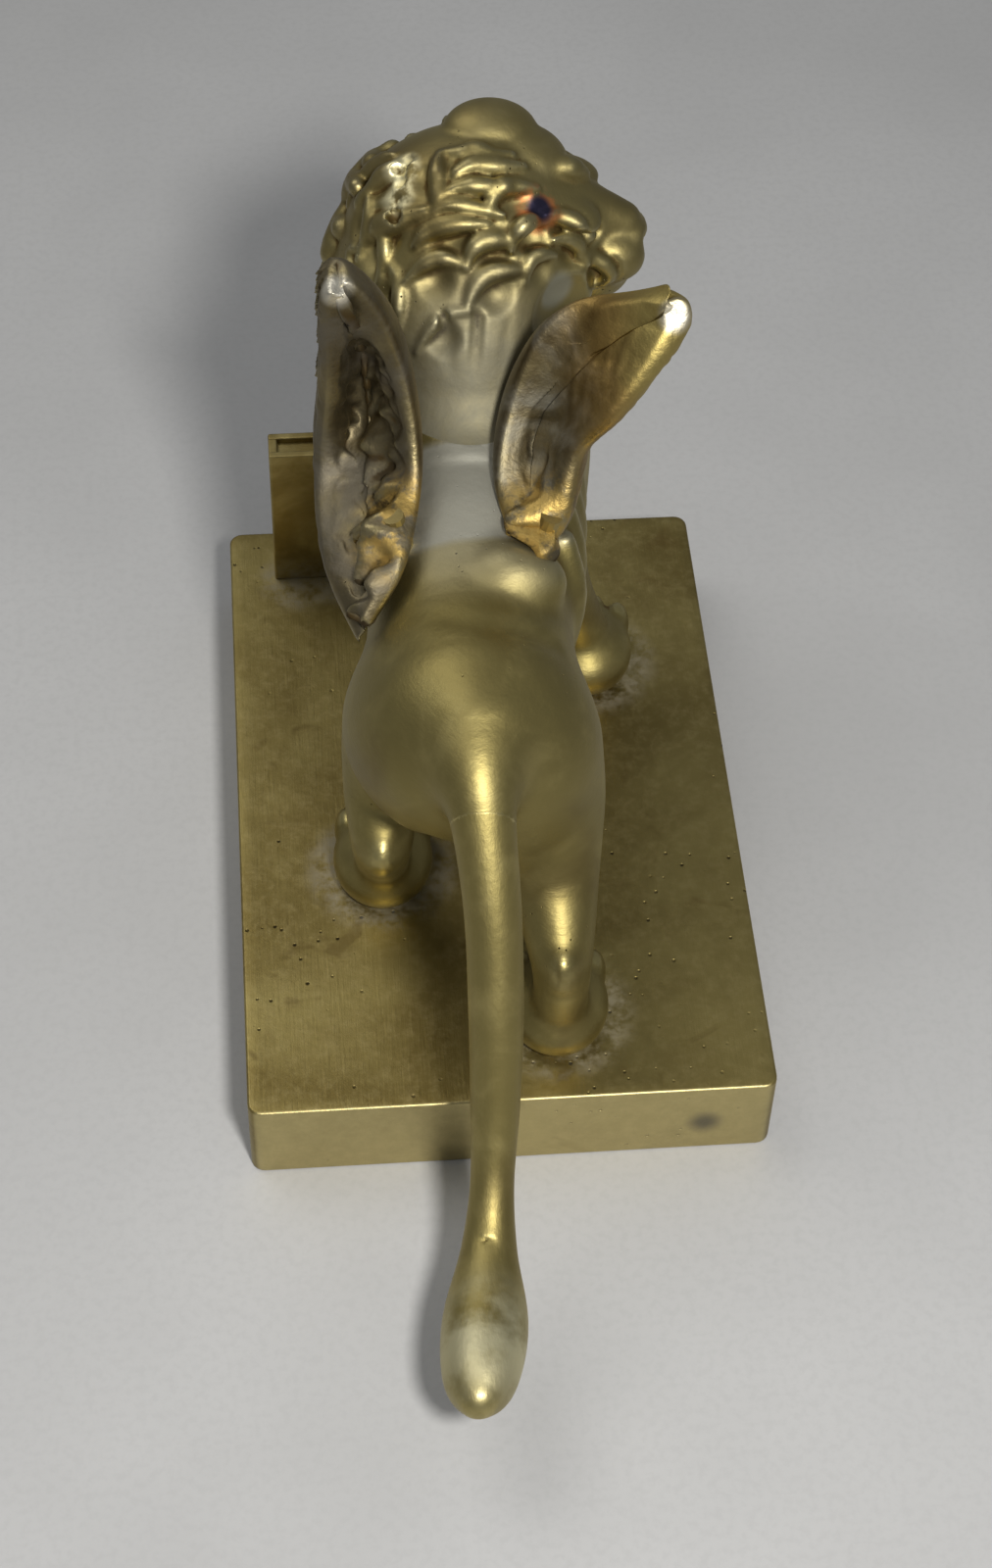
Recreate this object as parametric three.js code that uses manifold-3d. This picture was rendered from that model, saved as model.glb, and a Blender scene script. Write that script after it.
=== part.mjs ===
// Hood ornament: a winged lion walking on a flat base plate, one forepaw resting on an upright book.
// Millimetres, +Z up. The origin is the centre of the plate's underside. +Y is the way the lion walks
// and +X is the lion's right. The figure is worked in its own frame, whose z = 0 is the plate's top.
import * as THREE from "three";
import { mergeVertices } from "three/addons/utils/BufferGeometryUtils.js";
import Module from "manifold-3d";

const wasm = await Module();
wasm.setup();

// ---------------------------------------------------------------- driving dimensions
const BASE = { width: 60, length: 90, thickness: 12, cornerRadius: 1.5, edgeBevel: 0.5 };
const FIGURE = { offsetX: -2.3, yaw: -3.3 }; // yaw in degrees
const HIPS = { y: -20.5, z: 37.5, radius: 12.6 };
const SHOULDERS = { y: 27, z: 41, radius: 12.2 };
const WAIST_RADIUS = 11.6;
const RIB_RADIUS = 12.6;
const HEAD = { x: 1.2, y: 31, z: 61.5, maneRadius: 13.2, muzzle: 14.3 };
const PAW = { halfWidth: 6.4, halfLength: 8, height: 7.6 };
const TAIL = { rootRadius: 4.2, thinRadius: 2.4, tuftRadius: 4.6, reach: 50.5, drop: 42 };
const WING = { length: 32, thickness: 4.6, rootX: 7.6, rootY: 4, sink: 2.4, pivotY: 10 };
const LEFT_WING = { side: -1, lean: 10, tipBend: 5 }; // degrees; the left wing stands nearly upright
const RIGHT_WING = { side: 1, lean: 14, tipBend: 17 }; // the right one is bent out at its tip
const BOOK = { width: 18, height: 22, thickness: 4.2, left: -24.3, rearY: 36.6, coverLip: 0.7 };
const PAW_SCREW = { shank: 3, head: 6, headDepth: 1.7, recess: 0.4, engagement: 4.2, slot: 0.8 };
const BOOK_SCREW = { shank: 2, head: 3.8, headDepth: 1.2, recess: 0.4, engagement: 7, slot: 0.6 };
const BOOK_SCREW_SPACING = 9;
const HOOD_HOLE = { diameter: 5, depth: 8, spacing: 44 };
const DOWEL = { diameter: 2.4, length: 8 };
const NECK_STUD = { diameter: 6, length: 14 };
const TAIL_SPIGOT = { diameter: 4, depth: 7 };
const PAW_PIN = { diameter: 1.6, length: 6 };
const CASTING_GAP = 0.3; // between castings that are fitted to each other
const PIN_GAP = 0.05; // radial, round a dowel, stud or screw shank
const END_GAP = 0.3; // past the ends of a dowel, stud or screw
const SCREW_HEAD_RIM = 0.3; // the straight edge of a countersunk head
const HEAD_CLEARANCE = 2.2; // the wings stay this far from the mane's ellipsoid, to clear its locks
const PIN_MARGIN = 3; // the raised paw's pin keeps this far inside the book's ends
const OVERRUN = 1; // a cutter runs this far past the face that it opens

// ---------------------------------------------------------------- finishes
const finish = (colour, roughness) =>
  new THREE.MeshStandardMaterial({ color: colour, roughness, metalness: 1 });
const CAST_BRASS = finish(0x9a8a45, 0.42);
const WING_BRASS = finish(0x7d6f42, 0.5);
const PLATE_BRASS = finish(0x8a7a3a, 0.45);
const PIN_BRASS = finish(0xa08c4c, 0.4);

// ---------------------------------------------------------------- shapes
const AXIS_Y = new THREE.Vector3(0, 1, 0);
const UPWARD = [0, 0, 1];
const { degToRad, radToDeg, clamp, lerp } = THREE.MathUtils;
const PIN_SIDES = 12;
const vec = (p) => new THREE.Vector3(p[0], p[1], p[2]);
const at = (x, y) => new THREE.Vector2(x, y);

// A ball of radius ra at a and another of radius rb at b, joined by their common tangent cone.
function roundCone(a, ra, b, rb, sides) {
  const along = vec(b).sub(vec(a));
  const length = along.length();
  const tilt = Math.asin(clamp((ra - rb) / length, -0.95, 0.95));
  const steps = 3;
  const profile = [];
  for (let i = 0; i <= steps; i++) {
    const angle = lerp(-Math.PI / 2, tilt, i / steps);
    profile.push(at(i === 0 ? 0 : ra * Math.cos(angle), ra * Math.sin(angle)));
  }
  for (let i = 0; i <= steps; i++) {
    const angle = lerp(tilt, Math.PI / 2, i / steps);
    profile.push(at(i === steps ? 0 : rb * Math.cos(angle), length + rb * Math.sin(angle)));
  }
  const turn = new THREE.Quaternion().setFromUnitVectors(AXIS_Y, along.normalize());
  return new THREE.LatheGeometry(profile, sides).applyQuaternion(turn).translate(...a.slice(0, 3));
}

// A chain of round cones through rows of [x, y, z, radius]; grow thickens it all round.
function limb(rows, grow = 0, sides = 10) {
  return rows.slice(1).map((b, i) => roundCone(rows[i], rows[i][3] + grow, b, b[3] + grow, sides));
}

// An ellipsoid of the given half-axes, turned by angles in degrees about X, then Y, then Z.
function egg(centre, radii, turn = [0, 0, 0], grow = 0, fineness = 10) {
  const geometry = new THREE.SphereGeometry(1, fineness, Math.round(fineness * 0.7));
  geometry.scale(...radii.map((r) => r + grow));
  geometry.rotateX(degToRad(turn[0])).rotateY(degToRad(turn[1])).rotateZ(degToRad(turn[2]));
  return geometry.translate(...centre);
}

function box(low, high) {
  const size = vec(high).sub(vec(low));
  const centre = vec(low).addScaledVector(size, 0.5);
  return new THREE.BoxGeometry(size.x, size.y, size.z).translate(centre.x, centre.y, centre.z);
}

// A cylinder that starts at a point and runs along a direction.
function rod({ from, axis, diameter, length }, extraRadius = 0, extraEnd = 0) {
  const radius = diameter / 2 + extraRadius;
  const geometry = new THREE.CylinderGeometry(radius, radius, length + 2 * extraEnd, PIN_SIDES);
  const turn = new THREE.Quaternion().setFromUnitVectors(AXIS_Y, vec(axis).normalize());
  return geometry.translate(0, length / 2, 0).applyQuaternion(turn).translate(...from);
}

// ---------------------------------------------------------------- cutting and joining
function solid(geometry) {
  geometry.deleteAttribute("normal");
  geometry.deleteAttribute("uv");
  const merged = mergeVertices(geometry, 1e-4);
  const mesh = new wasm.Mesh({
    numProp: 3,
    vertProperties: new Float32Array(merged.attributes.position.array),
    triVerts: new Uint32Array(merged.index.array),
  });
  return new wasm.Manifold(mesh);
}

const join = (geometries) => geometries.map(solid).reduce((all, one) => all.add(one));
const drill = (shape, pin) => shape.subtract(solid(rod(pin, PIN_GAP, END_GAP)));
const largest = (shape) => shape.decompose().sort((a, b) => b.volume() - a.volume())[0];

function geometryOf(shape) {
  const mesh = shape.getMesh();
  const geometry = new THREE.BufferGeometry();
  geometry.setAttribute("position", new THREE.BufferAttribute(mesh.vertProperties, 3));
  geometry.setIndex(new THREE.BufferAttribute(mesh.triVerts, 1));
  geometry.computeVertexNormals();
  return geometry;
}

// ---------------------------------------------------------------- body casting
const spineY = (t) => lerp(HIPS.y, SHOULDERS.y, t);
const spineZ = (t) => lerp(HIPS.z, SHOULDERS.z, t);
const RIBS_AT = 0.58;
const BACK_TOP = spineZ(RIBS_AT) + RIB_RADIUS;

// Where each paw stands, in the figure's frame.
const RIGHT_HIND = [9.9, -33];
const LEFT_HIND = [-10, -12];
const RIGHT_FORE = [15.2, 21];
const LEFT_FORE = [-10.5, 37.5];

function paw([x, y], floor, grow, scale = 1) {
  const [w, l, h] = [PAW.halfWidth * scale, PAW.halfLength * scale, PAW.height * scale];
  const shapes = [egg([x, y, floor + h * 0.4], [w * 0.9, l * 0.82, h * 0.58], [0, 0, 0], grow)];
  for (const place of [-1.5, -0.5, 0.5, 1.5]) {
    const reach = Math.abs(place) < 1 ? 0.66 : 0.5;
    const centre = [x + place * w * 0.42, y + l * reach, floor + h * 0.32];
    shapes.push(egg(centre, [w * 0.27, l * 0.32, h * 0.4], [0, 0, 0], grow, 6));
  }
  return shapes;
}

function torso(grow) {
  const rows = [
    [0, spineY(0), spineZ(0), HIPS.radius],
    [0, spineY(0.28), spineZ(0.28), WAIST_RADIUS],
    [0, spineY(RIBS_AT), spineZ(RIBS_AT), RIB_RADIUS],
    [0, spineY(1), spineZ(1), SHOULDERS.radius],
  ];
  const masses = limb(rows, grow, 14);
  masses.push(egg([0, SHOULDERS.y + 3, SHOULDERS.z - 2], [10, 8.5, 13], [15, 0, 0], grow));
  for (const side of [-1, 1]) {
    const shoulder = [side * 8, SHOULDERS.y - 5, SHOULDERS.z - 4];
    masses.push(egg(shoulder, [4.8, 8, 12], [0, side * -5, 0], grow));
  }
  return masses;
}

function hindLeg(side, foot, stifleY, hockY, hockZ, grow) {
  const [x, y] = foot;
  const knee = side * 8;
  const rows = [
    [side * 6.4, HIPS.y, HIPS.z * 0.9, 7],
    [knee, stifleY, HIPS.z * 0.66, 6.2],
    [lerp(knee, x, 0.7), hockY + 5, hockZ + 4.5, 4.3],
    [x, hockY, hockZ, 3.5],
    [x, lerp(hockY, y, 0.75), PAW.height * 0.6, 3.5],
  ];
  const tilt = (stifleY - HIPS.y) * 1.2;
  const thigh = egg([side * 5.2, HIPS.y, HIPS.z * 0.86], [7.2, 10.5, 13], [tilt, 0, 0], grow);
  return [thigh, ...limb(rows, grow)];
}

function rightForeLeg(grow) {
  const [x, y] = RIGHT_FORE;
  return limb([
    [8.4, SHOULDERS.y - 4, SHOULDERS.z * 0.88, 6.4],
    [11.5, y - 2, SHOULDERS.z * 0.64, 5],
    [13.4, y - 1, SHOULDERS.z * 0.4, 3.7],
    [x - 0.4, y - 1, PAW.height * 0.7, 3.5],
  ], grow);
}

function leftForeLeg(grow) {
  const [x, y] = LEFT_FORE;
  return limb([
    [-8.4, SHOULDERS.y - 3, SHOULDERS.z * 0.86, 6.4],
    [-10.6, SHOULDERS.y - 6, SHOULDERS.z * 0.66, 5],
    [-10.8, y - 11, SHOULDERS.z * 0.6, 4],
    [x, y - 3, BOOK.height + 4.4, 3.2],
  ], grow);
}

const RAISED_PAW_SCALE = 0.8;
function bodyShape(grow) {
  return join([
    ...torso(grow),
    ...hindLeg(1, RIGHT_HIND, HIPS.y - 1, -36, 14.2, grow),
    ...hindLeg(-1, LEFT_HIND, HIPS.y + 9, -17.5, 13.5, grow),
    ...rightForeLeg(grow),
    ...leftForeLeg(grow),
    ...paw(RIGHT_HIND, 0, grow),
    ...paw(LEFT_HIND, 0, grow),
    ...paw(RIGHT_FORE, 0, grow),
    ...paw(LEFT_FORE, BOOK.height, grow, RAISED_PAW_SCALE),
  ]);
}

// ---------------------------------------------------------------- head, mane and neck
const MANE_ROWS = [
  { count: 7, height: -0.62, spread: 0.8, lock: [3.6, 2.6, 5] },
  { count: 8, height: -0.1, spread: 0.97, lock: [3.8, 2.6, 5.2] },
  { count: 7, height: 0.5, spread: 0.72, lock: [3.8, 2.8, 4.2] },
];
const MANE_START = 52; // degrees from +X, where the face looks; the mane leaves that side open
const MANE_SWEEP = 256;

function maneLocks() {
  const locks = [];
  MANE_ROWS.forEach(({ count, height, spread, lock }, row) => {
    for (let i = 0; i < count; i++) {
      const angle = MANE_START + (MANE_SWEEP * (i + 0.5 * (row % 2))) / count;
      const radius = HEAD.maneRadius * spread;
      const centre = [
        HEAD.x - 1.5 + radius * Math.cos(degToRad(angle)),
        HEAD.y + radius * Math.sin(degToRad(angle)),
        HEAD.z + HEAD.maneRadius * height,
      ];
      locks.push(egg(centre, lock, [0, 14, angle - 90], 0, 6));
    }
  });
  return locks;
}

function neck(grow) {
  const { x, y, z, maneRadius: r } = HEAD;
  return limb([
    [0, SHOULDERS.y - 10, SHOULDERS.z + 5, 9.2],
    [0, SHOULDERS.y - 5, SHOULDERS.z + 11, 10.6],
    [x - 1, y - 1.5, z - 4, r - 1.8],
  ], grow, 12);
}

function face() {
  const { x, y, z, muzzle } = HEAD;
  const middle = y + 1.2;
  const features = limb([
    [x + 5, middle, z + 0.5, 7.2],
    [x + muzzle - 2.5, middle, z - 1.5, 4.9],
    [x + muzzle, middle, z - 2.2, 4.3],
  ]);
  features.push(egg([x + 5.5, middle, z + 1.5], [8.4, 8, 8.2]));
  features.push(egg([x + muzzle + 2.6, middle, z], [1.9, 2.6, 1.7], [0, 25, 0], 0, 8)); // nose
  features.push(egg([x + 9.5, middle, z - 7.6], [4.6, 3.8, 4], [0, 25, 0], 0, 10)); // jaw and beard
  for (const side of [-1, 1]) {
    features.push(egg([x + 10.5, middle + side * 4.3, z + 4.4], [3.4, 2.2, 1.6], [0, 20, 0], 0, 8)); // brow
    features.push(egg([x + 3.5, middle + side * 8.4, z + 6.8], [2.6, 2, 3.2], [side * -10, 0, 0], 0, 8)); // ear
  }
  return features;
}

function headShape() {
  const { x, y, z, maneRadius: r } = HEAD;
  const mane = egg([x - 1.5, y, z], [r, r * 0.95, r * 1.02], [0, 0, 0], 0, 14);
  const crown = egg([x - 0.5, y - 0.5, z + r * 0.86], [7, 6, 4.6], [0, -8, 0]);
  return join([...neck(0), mane, crown, ...face(), ...maneLocks()]);
}

// The room that the neck and mane need beside the wings.
function headRoom() {
  const { x, y, z, maneRadius: r } = HEAD;
  const reach = r + HEAD_CLEARANCE;
  return join([...neck(CASTING_GAP), egg([x - 1.5, y, z], [reach, reach, reach * 1.06])]);
}

// ---------------------------------------------------------------- wings
// Flattened feathers side by side, fanned about the shoulder between two angles from straight up.
// Each is a round cone, wider at its free end, squashed to the blade's thickness. The first feather
// leans outward by bend, and each one behind it leans less.
function feathers({ count, from, to, length, width, offset, bend }) {
  const made = [];
  for (let i = 0; i < count; i++) {
    const share = i / (count - 1);
    const reach = length * (1 - 0.1 * Math.sin(Math.PI * share)) - width / 2;
    const feather = roundCone([0, 0, 0], width * 0.36, [0, 0, reach], width / 2, 10);
    feather.scale(WING.thickness / width, 1, 1).rotateX(degToRad(lerp(from, to, share)));
    feather.rotateY(degToRad(bend * (1 - share)));
    made.push(feather.translate(offset, WING.pivotY, -2));
  }
  return made;
}

// A wing is two layers of feathers, a boss over the shoulder and a keel along the back. It is worked
// upright in its own frame, X through its thickness, then leant outward and set on the back.
function wingShape(side, lean, tipBend) {
  const { length: l, thickness: t, pivotY } = WING;
  const outward = side * t;
  const bend = side * tipBend;
  const primaries = { count: 6, from: 24, to: 100, length: l, width: l * 0.3, offset: 0, bend };
  const coverts = { count: 5, from: 46, to: 106, length: l * 0.82, width: l * 0.27, offset: outward, bend };
  const shapes = [
    ...feathers(primaries),
    ...feathers(coverts),
    egg([outward * 0.5, pivotY - 3, 1], [t * 1.4, l * 0.25, l * 0.29]),
    egg([0, pivotY - l * 0.38, 0], [t * 0.75, l * 0.42, l * 0.17]),
  ];
  for (const shape of shapes) {
    shape.rotateY(side * degToRad(lean));
    shape.translate(side * WING.rootX, WING.rootY, BACK_TOP - WING.sink);
  }
  return join(shapes);
}

function wingDowels(side) {
  return [7, -5].map((ahead) => ({
    from: [side * 6.6, WING.rootY + ahead - 3, BACK_TOP - WING.sink - 5.5],
    axis: [side * 0.25, 0, 1],
    ...DOWEL,
  }));
}

// ---------------------------------------------------------------- tail
function tailShape() {
  const { rootRadius, thinRadius, tuftRadius, reach, drop } = TAIL;
  const rootY = HIPS.y - HIPS.radius + 1.6;
  const rootZ = HIPS.z + 5;
  const ring = (share, fall, radius, x) => [x, rootY - reach * share, rootZ - drop * fall, radius];
  return join(limb([
    ring(-0.04, -0.03, rootRadius, 0),
    ring(0.08, 0.04, lerp(rootRadius, thinRadius, 0.5), 0.8),
    ring(0.22, 0.22, lerp(rootRadius, thinRadius, 0.68), 1.8),
    ring(0.34, 0.45, lerp(rootRadius, thinRadius, 0.75), 2.2),
    ring(0.44, 0.68, lerp(rootRadius, thinRadius, 0.85), 2.2),
    ring(0.55, 0.87, thinRadius, 1.9),
    ring(0.68, 0.97, lerp(thinRadius, tuftRadius, 0.4), 1.5),
    ring(0.83, 1, tuftRadius, 1),
    ring(0.96, 0.97, tuftRadius * 0.86, 0.4),
    ring(1.02, 0.94, tuftRadius * 0.55, 0.1),
  ], 0, 12));
}

// ---------------------------------------------------------------- screws from under the plate
// A slotted countersunk screw, its head in the plate's underside and its tip up in the casting.
function screw({ shank, head, headDepth, recess, engagement, slot }) {
  const tip = BASE.thickness + engagement;
  const profile = [
    at(0, recess),
    at(head / 2, recess),
    at(head / 2, recess + SCREW_HEAD_RIM),
    at(shank / 2, recess + headDepth),
    at(shank / 2, tip - shank / 4),
    at(shank / 4, tip),
    at(0, tip),
  ];
  const slotCut = box([-head, -slot / 2, 0], [head, slot / 2, recess + headDepth * 0.45]);
  return solid(new THREE.LatheGeometry(profile, PIN_SIDES).rotateX(Math.PI / 2)).subtract(solid(slotCut));
}

function countersunkHole({ shank, head, headDepth, recess }, x, y) {
  const bore = shank / 2 + PIN_GAP;
  const mouth = head / 2 + PIN_GAP * 2;
  const profile = [
    at(0, -OVERRUN),
    at(mouth, -OVERRUN),
    at(mouth, recess + SCREW_HEAD_RIM),
    at(bore, recess + headDepth + PIN_GAP * 2),
    at(bore, BASE.thickness + OVERRUN),
    at(0, BASE.thickness + OVERRUN),
  ];
  return solid(new THREE.LatheGeometry(profile, PIN_SIDES).rotateX(Math.PI / 2).translate(x, y, 0));
}

// The blind hole above the plate, as a pin for drill().
const threadHole = ({ shank, engagement }, x, y) => ({
  from: [x, y, -OVERRUN],
  axis: UPWARD,
  diameter: shank,
  length: engagement + OVERRUN,
});

// ---------------------------------------------------------------- where the figure stands
const figure = new THREE.Group();
figure.position.set(FIGURE.offsetX, 0, BASE.thickness);
figure.rotation.z = degToRad(FIGURE.yaw);
figure.updateMatrix();
const intoFigure = figure.matrix.clone().invert();
const onPlate = ([x, y]) => new THREE.Vector3(x, y, 0).applyMatrix4(figure.matrix);

const PAW_SCREWS = {
  paw_screw_right_hind: RIGHT_HIND,
  paw_screw_left_hind: LEFT_HIND,
  paw_screw_right_fore: RIGHT_FORE,
};
const BOOK_MIDDLE = { x: BOOK.left + BOOK.width / 2, y: BOOK.rearY + BOOK.thickness / 2 };
const BOOK_SCREWS = {
  book_screw_left: BOOK_MIDDLE.x - BOOK_SCREW_SPACING / 2,
  book_screw_right: BOOK_MIDDLE.x + BOOK_SCREW_SPACING / 2,
};

// ---------------------------------------------------------------- base plate
function basePlate() {
  const { width, length, thickness, cornerRadius: r, edgeBevel } = BASE;
  const x = width / 2 - edgeBevel - r;
  const y = length / 2 - edgeBevel - r;
  const outline = new THREE.Shape();
  outline.absarc(x, -y, r, -Math.PI / 2, 0);
  outline.absarc(x, y, r, 0, Math.PI / 2);
  outline.absarc(-x, y, r, Math.PI / 2, Math.PI);
  outline.absarc(-x, -y, r, Math.PI, Math.PI * 1.5);
  const slab = new THREE.ExtrudeGeometry(outline, {
    depth: thickness - 2 * edgeBevel,
    bevelThickness: edgeBevel,
    bevelSize: edgeBevel,
    bevelSegments: 1,
    curveSegments: 4,
  });
  let plate = solid(slab.translate(0, 0, edgeBevel));
  for (const foot of Object.values(PAW_SCREWS)) {
    const place = onPlate(foot);
    plate = plate.subtract(countersunkHole(PAW_SCREW, place.x, place.y));
  }
  for (const screwX of Object.values(BOOK_SCREWS)) {
    plate = plate.subtract(countersunkHole(BOOK_SCREW, screwX, BOOK_MIDDLE.y));
  }
  for (const end of [-1, 1]) {
    const from = [0, (end * HOOD_HOLE.spacing) / 2, -OVERRUN];
    const hole = { from, axis: UPWARD, diameter: HOOD_HOLE.diameter, length: HOOD_HOLE.depth + OVERRUN };
    plate = plate.subtract(solid(rod(hole)));
  }
  return plate;
}

// ---------------------------------------------------------------- book
// Two boards with the page block set back between them on the top and the lion's-right edge.
function bookShape() {
  const { width: w, height: h, thickness: t, coverLip: lip } = BOOK;
  const board = t * 0.22;
  const open = [
    box([w - lip, board, -OVERRUN], [w + OVERRUN, t - board, h + OVERRUN]),
    box([-OVERRUN, board, h - lip], [w + OVERRUN, t - board, h + OVERRUN]),
  ];
  let shape = solid(box([0, 0, 0], [w, t, h])).subtract(join(open));
  for (const screwX of Object.values(BOOK_SCREWS)) {
    shape = drill(shape, threadHole(BOOK_SCREW, screwX - BOOK.left, t / 2));
  }
  return shape;
}

// ---------------------------------------------------------------- fitting the castings to each other
const belowPlate = solid(box([-200, -200, -100], [200, 200, 0]));

// The raised paw is flat where it lies on the book.
const bookRoom = solid(
  box(
    [BOOK.left - CASTING_GAP, BOOK.rearY - CASTING_GAP, 0],
    [
      BOOK.left + BOOK.width + CASTING_GAP,
      BOOK.rearY + BOOK.thickness + CASTING_GAP,
      BASE.thickness + BOOK.height,
    ],
  ).applyMatrix4(intoFigure),
);

const neckStud = {
  from: [0, SHOULDERS.y - 5.5, SHOULDERS.z + SHOULDERS.radius - NECK_STUD.length / 2],
  axis: [0, 0.25, 1],
  ...NECK_STUD,
};
const tailSpigot = {
  from: [0, HIPS.y - HIPS.radius - 1, HIPS.z + 4.4],
  axis: [0, 1, -0.12],
  diameter: TAIL_SPIGOT.diameter,
  length: TAIL_SPIGOT.depth,
};
const pinX = clamp(onPlate(LEFT_FORE).x, BOOK.left + PIN_MARGIN, BOOK.left + BOOK.width - PIN_MARGIN);
const pawPin = {
  from: [pinX, BOOK_MIDDLE.y, BASE.thickness + BOOK.height - PAW_PIN.length / 2],
  axis: UPWARD,
  ...PAW_PIN,
};
const pawPinInFigure = { ...pawPin, from: vec(pawPin.from).applyMatrix4(intoFigure).toArray() };
const pawPinInBook = {
  ...pawPin,
  from: [pinX - BOOK.left, BOOK.thickness / 2, BOOK.height - PAW_PIN.length / 2],
};

let body = bodyShape(0).subtract(belowPlate).subtract(bookRoom);
const bodyRoom = bodyShape(CASTING_GAP);
let head = largest(headShape().subtract(bodyRoom));
const tail = largest(tailShape().subtract(bodyRoom)).add(solid(rod(tailSpigot)));

body = drill(drill(drill(body, neckStud), tailSpigot), pawPinInFigure);
head = drill(head, neckStud);
for (const [x, y] of Object.values(PAW_SCREWS)) {
  body = drill(body, threadHole(PAW_SCREW, x, y));
}

const wings = {};
const dowels = {};
const besideHead = headRoom();
for (const [name, { side, lean, tipBend }] of [["left", LEFT_WING], ["right", RIGHT_WING]]) {
  let wing = largest(wingShape(side, lean, tipBend).subtract(bodyRoom).subtract(besideHead));
  const [front, rear] = wingDowels(side);
  for (const dowel of [front, rear]) {
    body = drill(body, dowel);
    wing = drill(wing, dowel);
  }
  wings[`${name}_wing`] = wing;
  dowels[`${name}_wing_dowel_front`] = front;
  dowels[`${name}_wing_dowel_rear`] = rear;
}

// ---------------------------------------------------------------- assembly
const part = new THREE.Group();
part.add(figure);

function show(group, name, shape, material, x = 0, y = 0, z = 0) {
  const mesh = new THREE.Mesh(geometryOf(shape), material);
  mesh.name = name;
  mesh.position.set(x, y, z);
  group.add(mesh);
}

show(part, "base_plate", basePlate(), PLATE_BRASS);
show(part, "book", drill(bookShape(), pawPinInBook), PLATE_BRASS, BOOK.left, BOOK.rearY, BASE.thickness);
show(figure, "lion_body", body, CAST_BRASS);
show(figure, "lion_head", head, CAST_BRASS);
show(figure, "tail", tail, CAST_BRASS);
for (const [name, wing] of Object.entries(wings)) {
  show(figure, name, wing, WING_BRASS);
}
show(figure, "neck_stud", solid(rod(neckStud)), PIN_BRASS);
for (const [name, dowel] of Object.entries(dowels)) {
  show(figure, name, solid(rod(dowel)), PIN_BRASS);
}
show(part, "paw_pin", solid(rod(pawPin)), PIN_BRASS);
for (const [name, foot] of Object.entries(PAW_SCREWS)) {
  const place = onPlate(foot);
  show(part, name, screw(PAW_SCREW), PIN_BRASS, place.x, place.y);
}
for (const [name, x] of Object.entries(BOOK_SCREWS)) {
  show(part, name, screw(BOOK_SCREW), PIN_BRASS, x, BOOK_MIDDLE.y);
}

export default part;
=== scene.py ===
"""A winged lion hood ornament in aged brass, on its rectangular plate, with one forepaw on a book."""

from copy import copy

import bmesh
import bpy
import numpy as np
from mathutils import Matrix, Vector


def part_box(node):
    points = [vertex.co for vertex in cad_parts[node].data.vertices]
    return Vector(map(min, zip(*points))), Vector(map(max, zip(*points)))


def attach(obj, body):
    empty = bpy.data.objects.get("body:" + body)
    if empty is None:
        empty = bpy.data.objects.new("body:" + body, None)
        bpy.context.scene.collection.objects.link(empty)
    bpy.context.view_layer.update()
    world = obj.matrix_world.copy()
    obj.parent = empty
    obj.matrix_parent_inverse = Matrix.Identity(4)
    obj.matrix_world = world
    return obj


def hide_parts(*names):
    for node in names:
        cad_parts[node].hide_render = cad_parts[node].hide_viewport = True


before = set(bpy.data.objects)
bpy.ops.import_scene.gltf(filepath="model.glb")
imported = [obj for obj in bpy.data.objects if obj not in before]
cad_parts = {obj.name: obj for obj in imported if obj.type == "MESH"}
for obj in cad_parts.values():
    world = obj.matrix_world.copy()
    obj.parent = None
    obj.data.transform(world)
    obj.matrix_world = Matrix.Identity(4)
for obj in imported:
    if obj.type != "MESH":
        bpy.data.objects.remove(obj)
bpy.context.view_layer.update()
MM = 0.001
rng = np.random.default_rng(7)


# ------------------------------------------------------------------ where things stand
def corners(node):
    """A node's lowest and highest corners in millimetres."""
    low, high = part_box(node)
    return np.array(low) / MM, np.array(high) / MM


PLATE_LOW, PLATE_HIGH = corners("base_plate")
BOOK_LOW, BOOK_HIGH = corners("book")
DECK = PLATE_HIGH[2]
BOOK_TOP = BOOK_HIGH[2] - DECK
FIGURE_TURN = np.radians(-3.3)  # the figure stands a little askew on its plate
FIGURE_X = -2.3


def on_plate(points):
    """Figure coordinates, whose z = 0 is the plate's top, turned and moved into the row frame."""
    c, s = np.cos(FIGURE_TURN), np.sin(FIGURE_TURN)
    x, y, z = np.asarray(points, float).reshape(-1, 3).T
    return np.stack([c * x - s * y + FIGURE_X, s * x + c * y, z + DECK], 1)


# ------------------------------------------------------------------ curves and turns
def spline(rows, steps):
    """Catmull-Rom curve through rows of numbers: each span is the cubic of its four nearest rows."""
    p = np.asarray(rows, float)
    p = np.vstack([2 * p[0] - p[1], p, 2 * p[-1] - p[-2]])
    t = np.linspace(0, 1, steps, endpoint=False)[:, None]
    spans = []
    for a, b, c, d in zip(p[:-3], p[1:-2], p[2:-1], p[3:]):
        cubic = (3 * b - a - 3 * c + d) * t**3 + (2 * a - 5 * b + 4 * c - d) * t**2 + (c - a) * t + 2 * b
        spans.append(0.5 * cubic)
    return np.vstack([*spans, p[-2][None]])


def along(rows, t):
    """The same curve read at shares t of its length in spans."""
    curve = spline(rows, 24)
    place = np.clip(t, 0, 1) * (len(curve) - 1)
    at = np.minimum(place.astype(int), len(curve) - 2)
    share = (place - at)[..., None]
    return curve[at] * (1 - share) + curve[at + 1] * share


def turned(degrees):
    """Rotation matrix of turns about X, then Y, then Z."""
    x, y, z = (np.array(Matrix.Rotation(np.radians(d), 3, a)) for d, a in zip(degrees, "XYZ"))
    return z @ y @ x


def smoothstep(low, high, value):
    """0 at low and 1 at high, eased at both. low may be above high."""
    t = np.clip((value - low) / (high - low), 0, 1)
    return t * t * (3 - 2 * t)


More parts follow.
